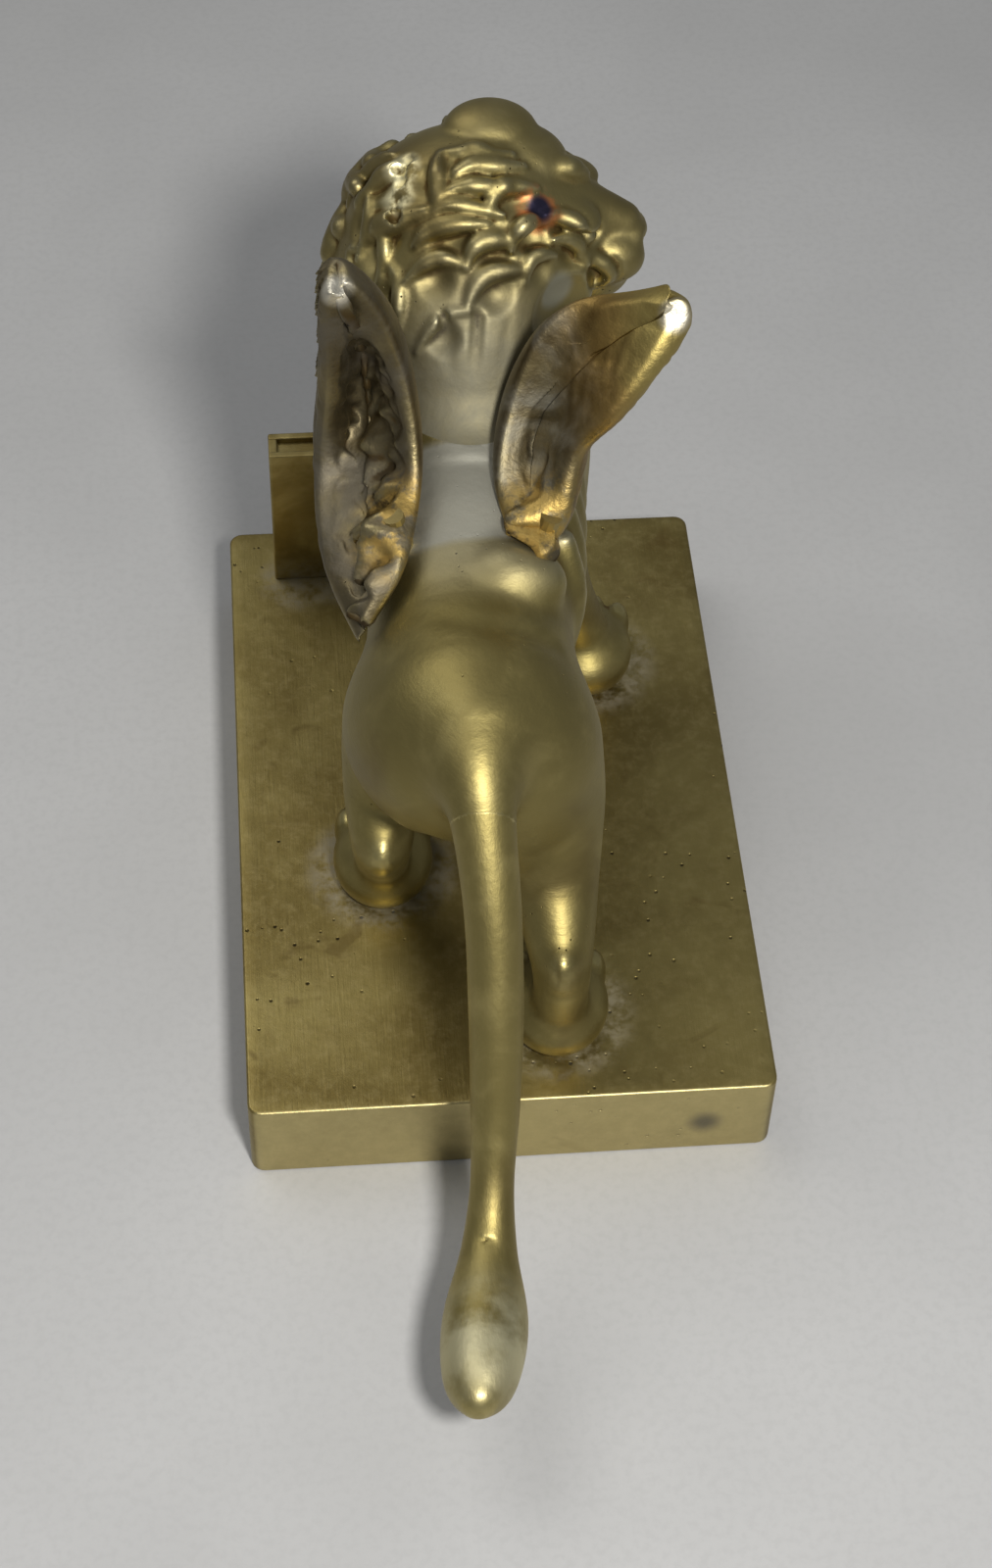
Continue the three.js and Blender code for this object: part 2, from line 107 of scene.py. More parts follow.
# ------------------------------------------------------------------ clay: a signed distance field
class Clay:
    """Distance to the metal's surface on a grid, negative inside. A sculpted casting, whose limbs run
    into its trunk, has no two-parameter surface, so its skin is taken from this field."""

    def __init__(self, low, high, step):
        self.low, self.step = np.asarray(low, float), step
        size = np.ceil((np.asarray(high, float) - self.low) / step).astype(int) + 1
        self.axes = [self.low[i] + step * np.arange(size[i]) for i in range(3)]
        self.field = np.full(size, 9.0, np.float32)

    def copy(self):
        """A second clay with the form this one has now."""
        twin = copy(self)
        twin.field = self.field.copy()
        return twin

    def near(self, low, high):
        """The part of the grid inside a box, and its coordinates."""
        size = self.field.shape
        first = np.clip(np.floor((low - self.low) / self.step).astype(int), 0, size)
        last = np.clip(np.ceil((high - self.low) / self.step).astype(int) + 1, 0, size)
        part = tuple(slice(a, b) for a, b in zip(first, last))
        lines = [axis[inside].astype(np.float32) for axis, inside in zip(self.axes, part)]
        return part, *np.meshgrid(*lines, indexing="ij", sparse=True)

    def blend(self, shape, soft, sign):
        """Smooth least (sign 1) or smooth greatest (sign -1) of the field and a shape: the two are mixed
        where they differ by less than soft, which rounds the corner between them."""
        distance, low, high = shape
        pad = soft + 2 * self.step
        part, x, y, z = self.near(low - pad, high + pad)
        old = self.field[part]
        if old.size:
            new = sign * distance(x, y, z)
            mix = np.clip(0.5 + 0.5 * sign * (old - new) / soft, 0, 1)
            self.field[part] = old + (new - old) * mix - sign * soft * mix * (1 - mix)

    def add(self, shape, soft):
        self.blend(shape, soft, 1)

    def cut(self, shape, soft):
        self.blend(shape, soft, -1)

    def outermost(self, origin, direction):
        """How far the metal reaches from a point inside it along a direction."""
        steps = np.arange(0, 26, self.step * 0.5)
        cells = np.round((origin + steps[:, None] * direction - self.low) / self.step).astype(int)
        cells = np.clip(cells, 0, np.array(self.field.shape) - 1)
        return steps[np.flatnonzero(self.field[tuple(cells.T)] < 0)[-1]]


def round_cone(a, b, ra, rb):
    """A ball of radius ra at a and one of rb at b, joined by their common tangent cone."""
    a, b = np.asarray(a, float), np.asarray(b, float)
    ba = b - a
    ll = max(ba @ ba, 1e-9)
    rr = ra - rb
    slope = max(ll - rr * rr, 1e-9)

    def distance(x, y, z):
        px, py, pz = x - a[0], y - a[1], z - a[2]
        h = px * ba[0] + py * ba[1] + pz * ba[2]
        beyond = h - ll
        across = (px * ll - ba[0] * h) ** 2 + (py * ll - ba[1] * h) ** 2 + (pz * ll - ba[2] * h) ** 2
        h2, beyond2 = h * h * ll, beyond * beyond * ll
        k = np.sign(rr) * rr * rr * across
        side = (np.sqrt(across * slope / ll) + h * rr) / ll - ra
        near_a = np.sqrt(across + h2) / ll - ra
        near_b = np.sqrt(across + beyond2) / ll - rb
        past_a = np.sign(h) * slope * h2 < k
        past_b = np.sign(beyond) * slope * beyond2 > k
        return np.where(past_b, near_b, np.where(past_a, near_a, side))

    r = max(ra, rb)
    return distance, np.minimum(a, b) - r, np.maximum(a, b) + r


def egg(centre, radii, turn=(0, 0, 0)):
    """An ellipsoid: its scaled radius less one, divided by the slope of that."""
    c, r, m = np.asarray(centre, float), np.asarray(radii, float), turned(turn)

    def distance(x, y, z):
        p = (x - c[0], y - c[1], z - c[2])
        q = [m[0, i] * p[0] + m[1, i] * p[1] + m[2, i] * p[2] for i in range(3)]
        k0 = np.sqrt(sum((q[i] / r[i]) ** 2 for i in range(3)))
        k1 = np.sqrt(sum((q[i] / r[i] ** 2) ** 2 for i in range(3)))
        return k0 * (k0 - 1) / np.maximum(k1, 1e-6)

    reach = np.sqrt(((m * r) ** 2).sum(1))
    return distance, c - reach, c + reach


def limb(rows, steps=4, share=1.0):
    """Round cones end to end along the first share of a smooth curve through rows of (x, y, z, radius)."""
    p = spline(rows, steps)
    p = p[: round(len(p) * share)]
    cones = [round_cone(a[:3], b[:3], a[3], b[3]) for a, b in zip(p[:-1], p[1:])]

    def distance(x, y, z):
        return np.minimum.reduce([cone[0](x, y, z) for cone in cones])

    return distance, np.min([c[1] for c in cones], 0), np.max([c[2] for c in cones], 0)


def slab(low, high):
    """A box, as the greatest of its six plane distances."""
    low, high = np.asarray(low, float), np.asarray(high, float)

    def distance(x, y, z):
        sides = [np.maximum(low[i] - v, v - high[i]) for i, v in enumerate((x, y, z))]
        return np.maximum(np.maximum(sides[0], sides[1]), sides[2])

    return distance, low, high


def skin(clay):
    """Surface nets: one point in each grid cell that the surface crosses, at the mean of the crossings
    on the cell's edges, and one four-sided face for each grid edge that it crosses."""
    f = clay.field
    inside = f < 0
    size = np.array(f.shape)
    offsets = [(i, j, k) for i in (0, 1) for j in (0, 1) for k in (0, 1)]

    def shifted(a, o):
        return a[o[0] : size[0] - 1 + o[0], o[1] : size[1] - 1 + o[1], o[2] : size[2] - 1 + o[2]]

    count = sum(shifted(inside, o).astype(np.int8) for o in offsets)
    crossed = (count > 0) & (count < 8)
    cells = np.argwhere(crossed)
    values = np.stack([f[tuple((cells + o).T)] for o in offsets], 1)
    total, crossings = np.zeros((len(cells), 3)), np.zeros(len(cells))
    for i, a in enumerate(offsets):
        for j, b in enumerate(offsets):
            if j > i and sum(abs(np.subtract(a, b))) == 1:
                met = (values[:, i] < 0) != (values[:, j] < 0)
                share = values[:, i] / np.where(met, values[:, i] - values[:, j], 1)
                total += np.where(met[:, None], a + share[:, None] * np.subtract(b, a), 0)
                crossings += met
    points = clay.low + clay.step * (cells + total / crossings[:, None])
    number = np.full(crossed.shape, -1)
    number[crossed] = np.arange(len(cells))
    faces = []
    for axis in range(3):
        u, v = (axis + 1) % 3, (axis + 2) % 3
        low, high = [slice(None)] * 3, [slice(None)] * 3
        low[axis], high[axis] = slice(0, -1), slice(1, None)
        edges = np.argwhere(inside[tuple(low)] != inside[tuple(high)])
        across = edges[:, [u, v]]
        edges = edges[((across > 0) & (across < size[[u, v]] - 1)).all(1)]
        ring = []
        for du, dv in ((0, 0), (1, 0), (1, 1), (0, 1)):
            cell = edges.copy()
            cell[:, u] -= du
            cell[:, v] -= dv
            ring.append(number[tuple(cell.T)])
        ring = np.stack(ring, 1)
        backward = ~inside[tuple(edges.T)]
        ring[backward] = ring[backward][:, ::-1]
        faces.append(ring)
    return points, np.vstack(faces)


# ------------------------------------------------------------------ surfaces on a grid
def grid_faces(rows, columns, around=False):
    """The four-sided faces of a grid of points, closed round on its columns if asked."""
    steps = columns if around else columns - 1
    i, j = np.meshgrid(np.arange(rows - 1), np.arange(steps), indexing="ij")
    k = (j + 1) % columns
    this, following = i * columns, (i + 1) * columns
    return np.stack([this + j, this + k, following + k, following + j], -1).reshape(-1, 4)


def closed_rings(points, faces, around):
    """Rings of points with their faces as lists, and a flat face on the first and the last ring."""
    last = len(points) - around
    caps = [list(range(around))[::-1], list(range(last, len(points)))]
    return points, faces.tolist() + caps


def lathe(profile, sides=48):
    """A profile of (radius, height) turned once round Z: x = r cos a, y = r sin a, z = h."""
    r, h = np.asarray(profile, float).T
    a = np.linspace(0, 2 * np.pi, sides, endpoint=False)
    points = np.stack([np.outer(r, np.cos(a)), np.outer(r, np.sin(a)), np.repeat(h[:, None], sides, 1)], -1)
    return closed_rings(points.reshape(-1, 3), grid_faces(len(r), sides, around=True), sides)


def rounded_block(low, high, corner, edge, fine=6):
    """A box as rings of a rounded rectangle carried up Z. Each ring is the rectangle's core pushed out by
    a quarter circle at each corner, and the top and bottom rings draw in along a quarter circle too."""
    low, high = np.asarray(low, float), np.asarray(high, float)
    quarter = np.linspace(0, np.pi / 2, fine)
    height = high[2] - low[2]
    drawn_in = edge * (1 - np.sin(quarter))
    risen = edge * (1 - np.cos(quarter))
    inset = np.concatenate([[corner], drawn_in, drawn_in[::-1], [corner]])
    rise = np.concatenate([[0], risen, height - risen[::-1], [height]])
    angle = np.concatenate([quarter + q * np.pi / 2 for q in range(4)])
    sign_x = np.repeat([1, -1, -1, 1], fine)
    sign_y = np.repeat([1, 1, -1, -1], fine)
    core_x = (high[0] - low[0]) / 2 - corner
    core_y = (high[1] - low[1]) / 2 - corner
    reach = (corner - inset)[:, None]
    x = sign_x * core_x + reach * np.cos(angle)
    y = sign_y * core_y + reach * np.sin(angle)
    z = np.repeat(rise[:, None], len(angle), 1)
    middle = [(low[0] + high[0]) / 2, (low[1] + high[1]) / 2, low[2]]
    points = np.stack([x, y, z], -1).reshape(-1, 3) + middle
    rings, around = x.shape
    return closed_rings(points, grid_faces(rings, around, around=True), around)


# ------------------------------------------------------------------ pieces
def new_mesh(name, points, faces):
    """A mesh from points and faces, each given as an array or a list."""
    mesh = bpy.data.meshes.new(name)
    mesh.from_pydata(np.asarray(points).tolist(), [], faces if isinstance(faces, list) else faces.tolist())
    return mesh


def new_object(name, data):
    obj = bpy.data.objects.new(name, data)
    bpy.context.scene.collection.objects.link(obj)
    return obj


def worn(mesh):
    """How far each point stands out of its surroundings: the step from its neighbourhood's mean, taken
    along its normal, at a fine and at a broad scale. Edges are positive and creases negative."""
    count = len(mesh.vertices)
    points = np.zeros(count * 3)
    mesh.vertices.foreach_get("co", points)
    points = points.reshape(-1, 3) / MM
    normals = np.zeros(count * 3)
    mesh.vertex_normals.foreach_get("vector", normals)
    normals = normals.reshape(-1, 3)
    ends = np.zeros(len(mesh.edges) * 2, np.int64)
    mesh.edges.foreach_get("vertices", ends)
    a, b = ends.reshape(-1, 2).T
    degree = np.maximum(np.bincount(a, minlength=count) + np.bincount(b, minlength=count), 1)[:, None]
    mean = points.copy()
    scales = []
    for passes in (4, 20):
        for _ in range(passes):
            total = [np.bincount(a, mean[b, i], count) + np.bincount(b, mean[a, i], count) for i in range(3)]
            mean = 0.5 * mean + 0.5 * np.stack(total, 1) / degree
        scales.append(((points - mean) * normals).sum(1))
    for name, value in zip(("fine_edge", "broad_edge"), scales):
        mesh.attributes.new(name, "FLOAT", "POINT").data.foreach_set("value", value.astype(np.float32))


def piece(name, points, faces, material, stands_for, sharp=None):
    """A mesh object from points in millimetres in the row frame, riding on the one body."""
    mesh = new_mesh(name, points * MM, faces)
    mesh.validate()
    mesh.shade_smooth()
    if sharp is not None:
        mesh.set_sharp_from_angle(angle=np.radians(sharp))
    obj = new_object(name, mesh)
    mesh.materials.append(material)
    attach(obj, "root")
    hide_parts(*stands_for)
    return obj


def casting(name, clay, material, stands_for, joints):
    """A sculpted piece from its clay, cut at its joints, with the wear of its edges and creases on it."""
    points, faces = skin(clay)
    for point, normal, low in joints:
        points, faces = sawn(points, faces, point, normal, low)
    obj = piece(name, on_plate(points), faces, material, stands_for, sharp=50)
    worn(obj.data)


def sawn(points, faces, point, normal, low):
    """What lies behind a plane, closed with a flat face. Anything lower than low is left alone."""
    mesh = new_mesh("sawn", points, faces)
    shape = bmesh.new()
    shape.from_mesh(mesh)
    above = [f for f in shape.faces if f.calc_center_median().z > low]
    parts = {*above, *(e for f in above for e in f.edges), *(v for f in above for v in f.verts)}
    plane = {"plane_co": point, "plane_no": normal, "clear_outer": True}
    cut = bmesh.ops.bisect_plane(shape, geom=list(parts), dist=1e-5, **plane)["geom_cut"]
    rim = [e for e in cut if isinstance(e, bmesh.types.BMEdge)]
    bmesh.ops.contextual_create(shape, geom=rim)
    shape.to_mesh(mesh)
    shape.free()
    points = np.array([v.co for v in mesh.vertices])
    faces = [list(f.vertices) for f in mesh.polygons]
    bpy.data.meshes.remove(mesh)
    return points, faces


SHARP_EDGE = 35


def bored(obj, cutters):
    """Holes: each closed cutter is taken away from the piece, and then removed itself."""
    for points, faces in cutters:
        cutter = new_object("cutter", new_mesh("cutter", points * MM, faces))
        modifier = obj.modifiers.new("hole", "BOOLEAN")
        modifier.operation = "DIFFERENCE"
        modifier.solver = "EXACT"
        modifier.object = cutter
        with bpy.context.temp_override(object=obj):
            bpy.ops.object.modifier_apply(modifier=modifier.name)
        bpy.data.objects.remove(cutter)
    obj.data.set_sharp_from_angle(angle=np.radians(SHARP_EDGE))


# ------------------------------------------------------------------ shader maths
class Val:
    """A number socket that takes part in Python arithmetic by adding Math nodes."""

    def __init__(self, shader, socket):
        self.shader, self.socket = shader, socket

    def _math(self, operation, *values, clamp=False):
        settings = {"operation": operation, "use_clamp": clamp}
        node = self.shader.node("ShaderNodeMath", settings, dict(enumerate(values)))
        return Val(self.shader, node.outputs[0])

    def __add__(self, other):
        return self._math("ADD", self, other)

    def __sub__(self, other):
        return self._math("SUBTRACT", self, other)

    def __rsub__(self, other):
        return self._math("SUBTRACT", other, self)

    def __mul__(self, other):
        return self._math("MULTIPLY", self, other)

    __radd__ = __add__
    __rmul__ = __mul__

    def clamp(self):
        return self._math("ADD", self, 0.0, clamp=True)

    def band(self, low, high):
        """0 below low and 1 above high, eased between them. low may be above high."""
        if low > high:
            return 1 - self.band(high, low)
        settings = {"interpolation_type": "SMOOTHSTEP"}
        values = {"Value": self, "From Min": low, "From Max": high}
        return Val(self.shader, self.shader.node("ShaderNodeMapRange", settings, values).outputs[0])


class Shader:
    """A node material with one method that adds any node."""

    def __init__(self, name):
        self.material = bpy.data.materials.new(name)
        self.material.use_nodes = True
        self.tree = self.material.node_tree
        self.surface = self.tree.nodes["Principled BSDF"]
        self.place = self.node("ShaderNodeTexCoord", {}, {}).outputs["Object"]

    def link(self, value, socket):
        if isinstance(value, Val):
            value = value.socket
        if isinstance(value, bpy.types.NodeSocket):
            self.tree.links.new(value, socket)
        else:
            socket.default_value = value

    def node(self, kind, settings, values):
        made = self.tree.nodes.new(kind)
        for key, value in settings.items():
            setattr(made, key, value)
        for key, value in values.items():
            self.link(value, made.inputs[key])
        return made

    def noise(self, scale, detail=4.0, roughness=0.55, distortion=0.0, stretch=(1, 1, 1)):
        """Noise whose cells are 1/scale metres, stretched along the axes."""
        moved = self.node("ShaderNodeMapping", {}, {"Vector": self.place, "Scale": stretch}).outputs[0]
        values = {"Vector": moved, "Scale": scale, "Detail": detail}
        values |= {"Roughness": roughness, "Distortion": distortion}
        return Val(self, self.node("ShaderNodeTexNoise", {}, values).outputs["Fac"])

    def specks(self, scale, size):
        """Round specks: 1 in the middle of scattered cells, 0 outside."""
        cells = self.node("ShaderNodeTexVoronoi", {"feature": "F1"}, {"Vector": self.place, "Scale": scale})
        return Val(self, cells.outputs["Distance"]).band(size, size * 0.4)

    def stored(self, name):
        """A number kept on each point of the mesh."""
        return Val(self, self.node("ShaderNodeAttribute", {"attribute_name": name}, {}).outputs["Fac"])

    def along(self, axis):
        """Place along an axis of the row frame, in millimetres."""
        parts = self.node("ShaderNodeSeparateXYZ", {}, {0: self.place})
        return Val(self, parts.outputs[axis]) * (1 / MM)

    def mix(self, factor, first, second):
        """One colour into another by a factor."""
        node = self.node("ShaderNodeMix", {"data_type": "RGBA"}, {0: factor, 6: first, 7: second})
        return node.outputs[2]

    def spot(self, centre, radius, soft):
        """1 inside a ball round a point of the row frame, given in millimetres, 0 outside."""
        values = {0: self.place, 1: tuple(np.asarray(centre, float) * MM)}
        away = self.node("ShaderNodeVectorMath", {"operation": "DISTANCE"}, values)
        return (Val(self, away.outputs["Value"]) * (1 / MM)).band(radius + soft, radius - soft)

    def finish(self, colour, roughness, bumps, metallic=1.0):
        """Wires colour, roughness and a list of (height, millimetres) bumps into the surface."""
        self.link(colour, self.surface.inputs["Base Color"])
        self.link(roughness, self.surface.inputs["Roughness"])
        self.link(metallic, self.surface.inputs["Metallic"])
        normal = None
        for relief, depth in bumps:
            values = {"Height": relief, "Distance": depth * MM, "Strength": 1.0}
            if normal is not None:
                values["Normal"] = normal
            normal = self.node("ShaderNodeBump", {}, values).outputs[0]
        if normal is not None:
            self.link(normal, self.surface.inputs["Normal"])
        return self.material


# ------------------------------------------------------------------ finishes
OLIVE = (0.275, 0.225, 0.082, 1)
GOLD = (0.50, 0.42, 0.18, 1)
BROWN = (0.10, 0.065, 0.022, 1)
BLACK_PIT = (0.02, 0.014, 0.008, 1)
RESIDUE = (0.42, 0.39, 0.31, 1)
AMBER = (0.29, 0.185, 0.05, 1)
# painted shade in the wings' deep hollows
PAINTED_HOLLOW_SHADE = (0.03, 0.022, 0.012, 1)
# bare ground metal on the wing tips, and also their painted highlight
BARE_TIP_AND_HIGHLIGHT = (0.78, 0.74, 0.62, 1)
# painted highlight on the upper side of the tail's tuft
TUFT_HIGHLIGHT_PAINT = (0.70, 0.66, 0.44, 1)
FRESH_CUT = (0.85, 0.78, 0.48, 1)
# painted light: the lighter colour of the plate's rear face, which faces the lamp beside the camera
PAINTED_LIT_FACE = (0.60, 0.51, 0.25, 1)
CAST_ON = (0.42, 0.29, 0.085, 1)
FILED_GREY = (0.38, 0.375, 0.325, 1)
FACET_GREY = (0.33, 0.33, 0.27, 1)
NECK_GREY = (0.25, 0.24, 0.185, 1)
STAIN_GREY = (0.12, 0.11, 0.085, 1)
HEAT_ORANGE = (0.55, 0.22, 0.08, 1)
HEAT_BLUE = (0.05, 0.045, 0.08, 1)


def brass(name, base, bright, tarnish=0.5, grain=0.03, file_marks=(1, 1, 1), extra=None):
    """Aged brass: bright on the edges, brown in the creases, mottled, pitted and finely scratched."""
    s = Shader(name)
    edge = s.stored("fine_edge")
    form = s.stored("broad_edge")
    mottle = s.noise(160, 5, 0.6, 0.4)
    blotch = s.noise(45, 3, 0.5, 0.8)
    polish = (edge.band(0.01, 0.09) + form.band(0.15, 0.7) * 0.55).clamp()
    crease = (edge.band(-0.012, -0.09) + form.band(-0.1, -0.6) * 0.6).clamp()
    colour = s.mix((polish * 0.8 + mottle.band(0.45, 0.75) * 0.35).clamp(), base, bright)
    colour = s.mix(blotch.band(0.5, 0.72) * tarnish, colour, BROWN)
    colour = s.mix((crease * (0.55 + mottle * 0.7)).clamp(), colour, BROWN)
    pits = s.specks(800, 0.11) * s.noise(55, 2).band(0.57, 0.66)
    colour = s.mix(pits * 0.85, colour, BLACK_PIT)
    roughness = 0.42 + mottle * 0.18 - polish * 0.12 + crease * 0.25 + pits * 0.3
    if extra:
        colour, roughness = extra(s, colour, roughness)
    scratch = s.noise(900, 3, 0.6, 0, file_marks)
    bumps = [(scratch, grain), (s.noise(420, 4, 0.65), 0.05), (pits * -1, 0.12)]
    return s.finish(colour, roughness, bumps)


# ------------------------------------------------------------------ the lion
RIGHT_HIND, LEFT_HIND = (9.9, -33.0), (-10.0, -12.0)
RIGHT_FORE, LEFT_FORE = (15.2, 21.0), (-10.5, 37.5)
NECK_JOINT = ((0, 3, 52.9), (0, 0.2, 0.98))
TAIL_JOINT = ((0.6, -36.6, 39.6), (0, -0.95, -0.3))
LEGS_TOP = 31  # the tail's joint cuts nothing below this
LOWEST = -90


def add_paw(clay, foot, floor=0.0, scale=1.0):
    """A pad with four toes side by side, a claw at each toe's end and a groove between each pair."""
    x, y = foot
    w, l, h = 6.4 * scale, 8.0 * scale, 7.6 * scale
    clay.add(egg((x, y - 0.4, floor + h * 0.38), (w * 0.92, l * 0.84, h * 0.6)), 1.2)
    for place in (-1.5, -0.5, 0.5, 1.5):
        reach = l * (0.62 if abs(place) < 1 else 0.46)
        toe = (x + place * w * 0.43, y + reach, floor + h * 0.36)
        clay.add(egg(toe, (w * 0.26, l * 0.34, h * 0.42), (0, 0, -4 * place)), 0.5)
        tip = (toe[0], toe[1] + l * 0.3, floor + h * 0.3)
        claw = (toe[0], toe[1] + l * 0.42, floor + h * 0.1)
        clay.add(round_cone(tip, claw, 0.75 * scale, 0.3), 0.3)


def add_trunk(clay):
    """Rump, loins, ribs and chest in one sweep, with thighs, shoulder blades and brisket laid on it."""
    spine = [(0, -21.5, 37.4, 12.4), (0, -9, 37.6, 11.3), (0, 7, 39.4, 12.6)]
    spine += [(0, 20, 40.2, 13.0), (0, 29, 41, 12)]
    clay.add(limb(spine), 6)
    clay.add(egg((4.6, -21.5, 33), (7.2, 10.5, 12.5), (-10, 0, 0)), 2.0)
    clay.add(egg((-4.6, -18.5, 33), (7.2, 10.5, 12.5), (11, 0, 0)), 2.0)
    clay.add(egg((0, 29.5, 39.5), (10.2, 9, 14), (15, 0, 0)), 4)
    clay.add(egg((5.4, -8.0, 46.8), (5.0, 3.6, 3.3), (0, 20, 0)), 2.2)
    for side in (-1, 1):
        clay.add(egg((side * 8.4, 22, 37.5), (5.0, 8.5, 12.5), (0, side * -6, 0)), 4)
    for i in range(4):
        rib = [(10.6, 12 - i * 4.6, 46, 0.6), (11.9, 10 - i * 4.8, 40, 0.7), (10.2, 8 - i * 5, 34, 0.5)]
        clay.add(limb(rib, 3), 3.0)


def add_legs(clay):
    """Two standing hind legs with their hocks, a standing right foreleg and a left one raised to the book."""
    right_hind = [(5.0, -22, 34, 8.2), (7.6, -22.5, 27, 7.0), (9.0, -27.5, 19.5, 5.2)]
    right_hind += [(9.9, -35.2, 14.4, 3.5), (10, -36, 8.5, 3.1), (9.9, -34.8, 4, 3.5)]
    left_hind = [(-5.4, -18, 34, 8.0), (-8.0, -12, 26, 6.4), (-9.8, -14, 18, 4.6)]
    left_hind += [(-10, -18.4, 13.5, 3.5), (-10, -16, 7.5, 3.1), (-10, -14, 4, 3.5)]
    right_fore = [(6.6, 23, 36, 6.8), (9.2, 19.4, 27, 4.8), (11.6, 19.6, 17, 3.5)]
    right_fore += [(14.0, 20, 9, 3.3), (15.1, 20, 4, 3.6)]
    wrist = BOOK_TOP + 4.4
    left_fore = [(-8.8, 24, 36, 7.0), (-10.8, 21, 27.5, 5.2), (-11, 27, 24.8, 4.1)]
    left_fore += [(-10.7, 33, wrist, 3.3), (-10.5, 36, wrist - 0.4, 3.2)]
    for leg, soft in ((right_hind, 5), (left_hind, 5), (right_fore, 3), (left_fore, 3)):
        clay.add(limb(leg), soft)
    for foot in (RIGHT_HIND, LEFT_HIND, RIGHT_FORE):
        add_paw(clay, foot)
    add_paw(clay, LEFT_FORE, BOOK_TOP, 0.8)
    for hock in ((9.9, -37.6, 15.2), (-10, -21, 14.2)):
        clay.add(egg(hock, (1.7, 2.0, 2.6)), 1.5)


TAIL_ROWS = [
    (0, -27.5, 43.2, 5.2),
    (0.2, -31.8, 42.4, 4.5),
    (0.8, -36.2, 39.8, 3.45),
    (1.8, -42.6, 32.6, 3.05),
    (2.2, -48.7, 23.2, 2.95),
    (2.2, -53.9, 13.6, 2.7),
    (1.9, -59.4, 6.2, 2.4),
    (1.5, -65.6, 2.0, 3.1),
    (1.0, -73.2, 0.7, 4.6),
    (0.4, -79.6, 1.8, 4.1),
    (0.1, -82.8, 3.0, 2.5),
]
NECK_ROWS = [(0, 19, 45, 9.6), (0, 22, 52, 11.0), (0.3, 28, 59, 11.6)]
TAIL_ROOT = 0.27  # the share of the tail's rows that belongs to the body
BENEATH_PAWS = slab((-30, -60, -3), (30, 60, 0))
BENEATH_BOOK_PAW = slab((-40, 34, BOOK_TOP - 30), (-3.9, 43, BOOK_TOP))


def body_clay():
    """The figure from the root of the tail to the neck, level under its paws."""
    clay = Clay((-23, -45, -0.5), (24, 48, 62), 0.5)
    add_trunk(clay)
    add_legs(clay)
    clay.add(limb(TAIL_ROWS, 6, TAIL_ROOT), 3.0)
    clay.add(limb(NECK_ROWS), 5)
    add_file_marks(clay)
    clay.cut(BENEATH_PAWS, 0.05)
    clay.cut(BENEATH_BOOK_PAW, 0.05)
    return clay


def tail_clay():
    """The tail with four nicks and a dent in its tuft, and the rump that it grows from, so that both
    castings meet in one shape."""
    clay = Clay((-8, -88, -6), (12, -24, 56), 0.4)
    add_trunk(clay)
    clay.add(limb(TAIL_ROWS, 6), 3.0)
    clay.cut(egg((1.4, -69, 7.0), (2.2, 1.2, 1.2), (25, 0, 20)), 0.8)
    for i in range(4):
        clay.cut(round_cone((0.2 + i * 0.5, -65.5, 5.0), (0.9 + i * 0.4, -66.6, 5.2), 0.22, 0.2), 0.2)
    return clay


def add_file_marks(clay):
    """The flat filed across the back between the wings, and the crease between the loins and the rump."""
    clay.cut(slab((-9, -8.6, 51.6), (8, 4.6, 58)), 1.2)
    crease = [(-11.6, -11.5, 46, 0.5), (-6, -14.6, 50.2, 0.9)]
    crease += [(1.7, -17.2, 51.0, 0.9), (9.4, -16.8, 46.5, 0.5)]
    clay.cut(limb(crease), 2.2)


# ------------------------------------------------------------------ head and mane
MANE = np.array([0.4, 30.6, 62.0])
MANE_RADII = np.array([12.2, 11.2, 12.3])
FACE_Y = 31.0


def toward(around, up):
    """A direction from the middle of the mane: around in degrees from the face's way, up from the level."""
    a, e = np.radians(around), np.radians(up)
    return np.array([np.cos(e) * np.cos(a), np.cos(e) * np.sin(a), np.sin(e)])


def on_mane(around, up, lift=0.0):
    """A point on the mane's ellipsoid, which is wider on the far side, or lift above it."""
    way = toward(around, up)
    wider = np.array([1.7 if way[0] < 0 else 0.0, 0, 0])
    return MANE + (MANE_RADII + wider + lift) * way


def add_lock(clay, bald, around, up, fall, swing, size):
    """A lock of hair: a tapered limb that falls down the mane and swings sideways in an S."""
    rows = []
    for t in np.linspace(0, 1, 5):
        width = size * (0.45 + 0.75 * np.sin(np.pi * (0.12 + 0.72 * t)))
        turn = around + swing * (np.sin(np.pi * t) + 0.5 * t) / max(np.cos(np.radians(up - fall * t)), 0.4)
        way = MANE_RADII * toward(turn, up - fall * t)
        way /= np.linalg.norm(way)
        point = MANE + way * (bald.outermost(MANE, way) + 0.1 - 0.3 * t)
        rows.append((*point, width if t < 1 else size * 0.3))
    clay.add(limb(rows, 2), 0.28)


def add_curl(clay, bald, bend, size):
    """A crescent of hair through three directions (around, up), laid on the bald head: a ridge that
    tapers to both ends, with a shallow dish scooped from its hollow side."""

    def laid(place, lift):
        way = toward(*place)
        return MANE + way * (bald.outermost(MANE, way) + lift)

    ends, middle = np.array([bend[0], bend[2]], float), np.array(bend[1], float)
    centre = ends.mean(0)
    span = np.linalg.norm(toward(*ends[0]) - toward(*ends[1])) * MANE_RADII[0]
    dish = 0.42 * span
    clay.cut(egg(laid(centre + (middle - centre) * 0.2, dish * 0.72), (dish, dish, dish)), 0.7)
    rows = []
    for t in np.linspace(0, 1, 7):
        place = (1 - t) ** 2 * ends[0] + 2 * t * (1 - t) * (2 * middle - centre) + t * t * ends[1]
        width = size * (0.35 + 0.65 * np.sin(np.pi * t))
        rows.append((*laid(place, 0.25 - width * 0.5), width))
    clay.add(limb(rows, 2), 0.4)


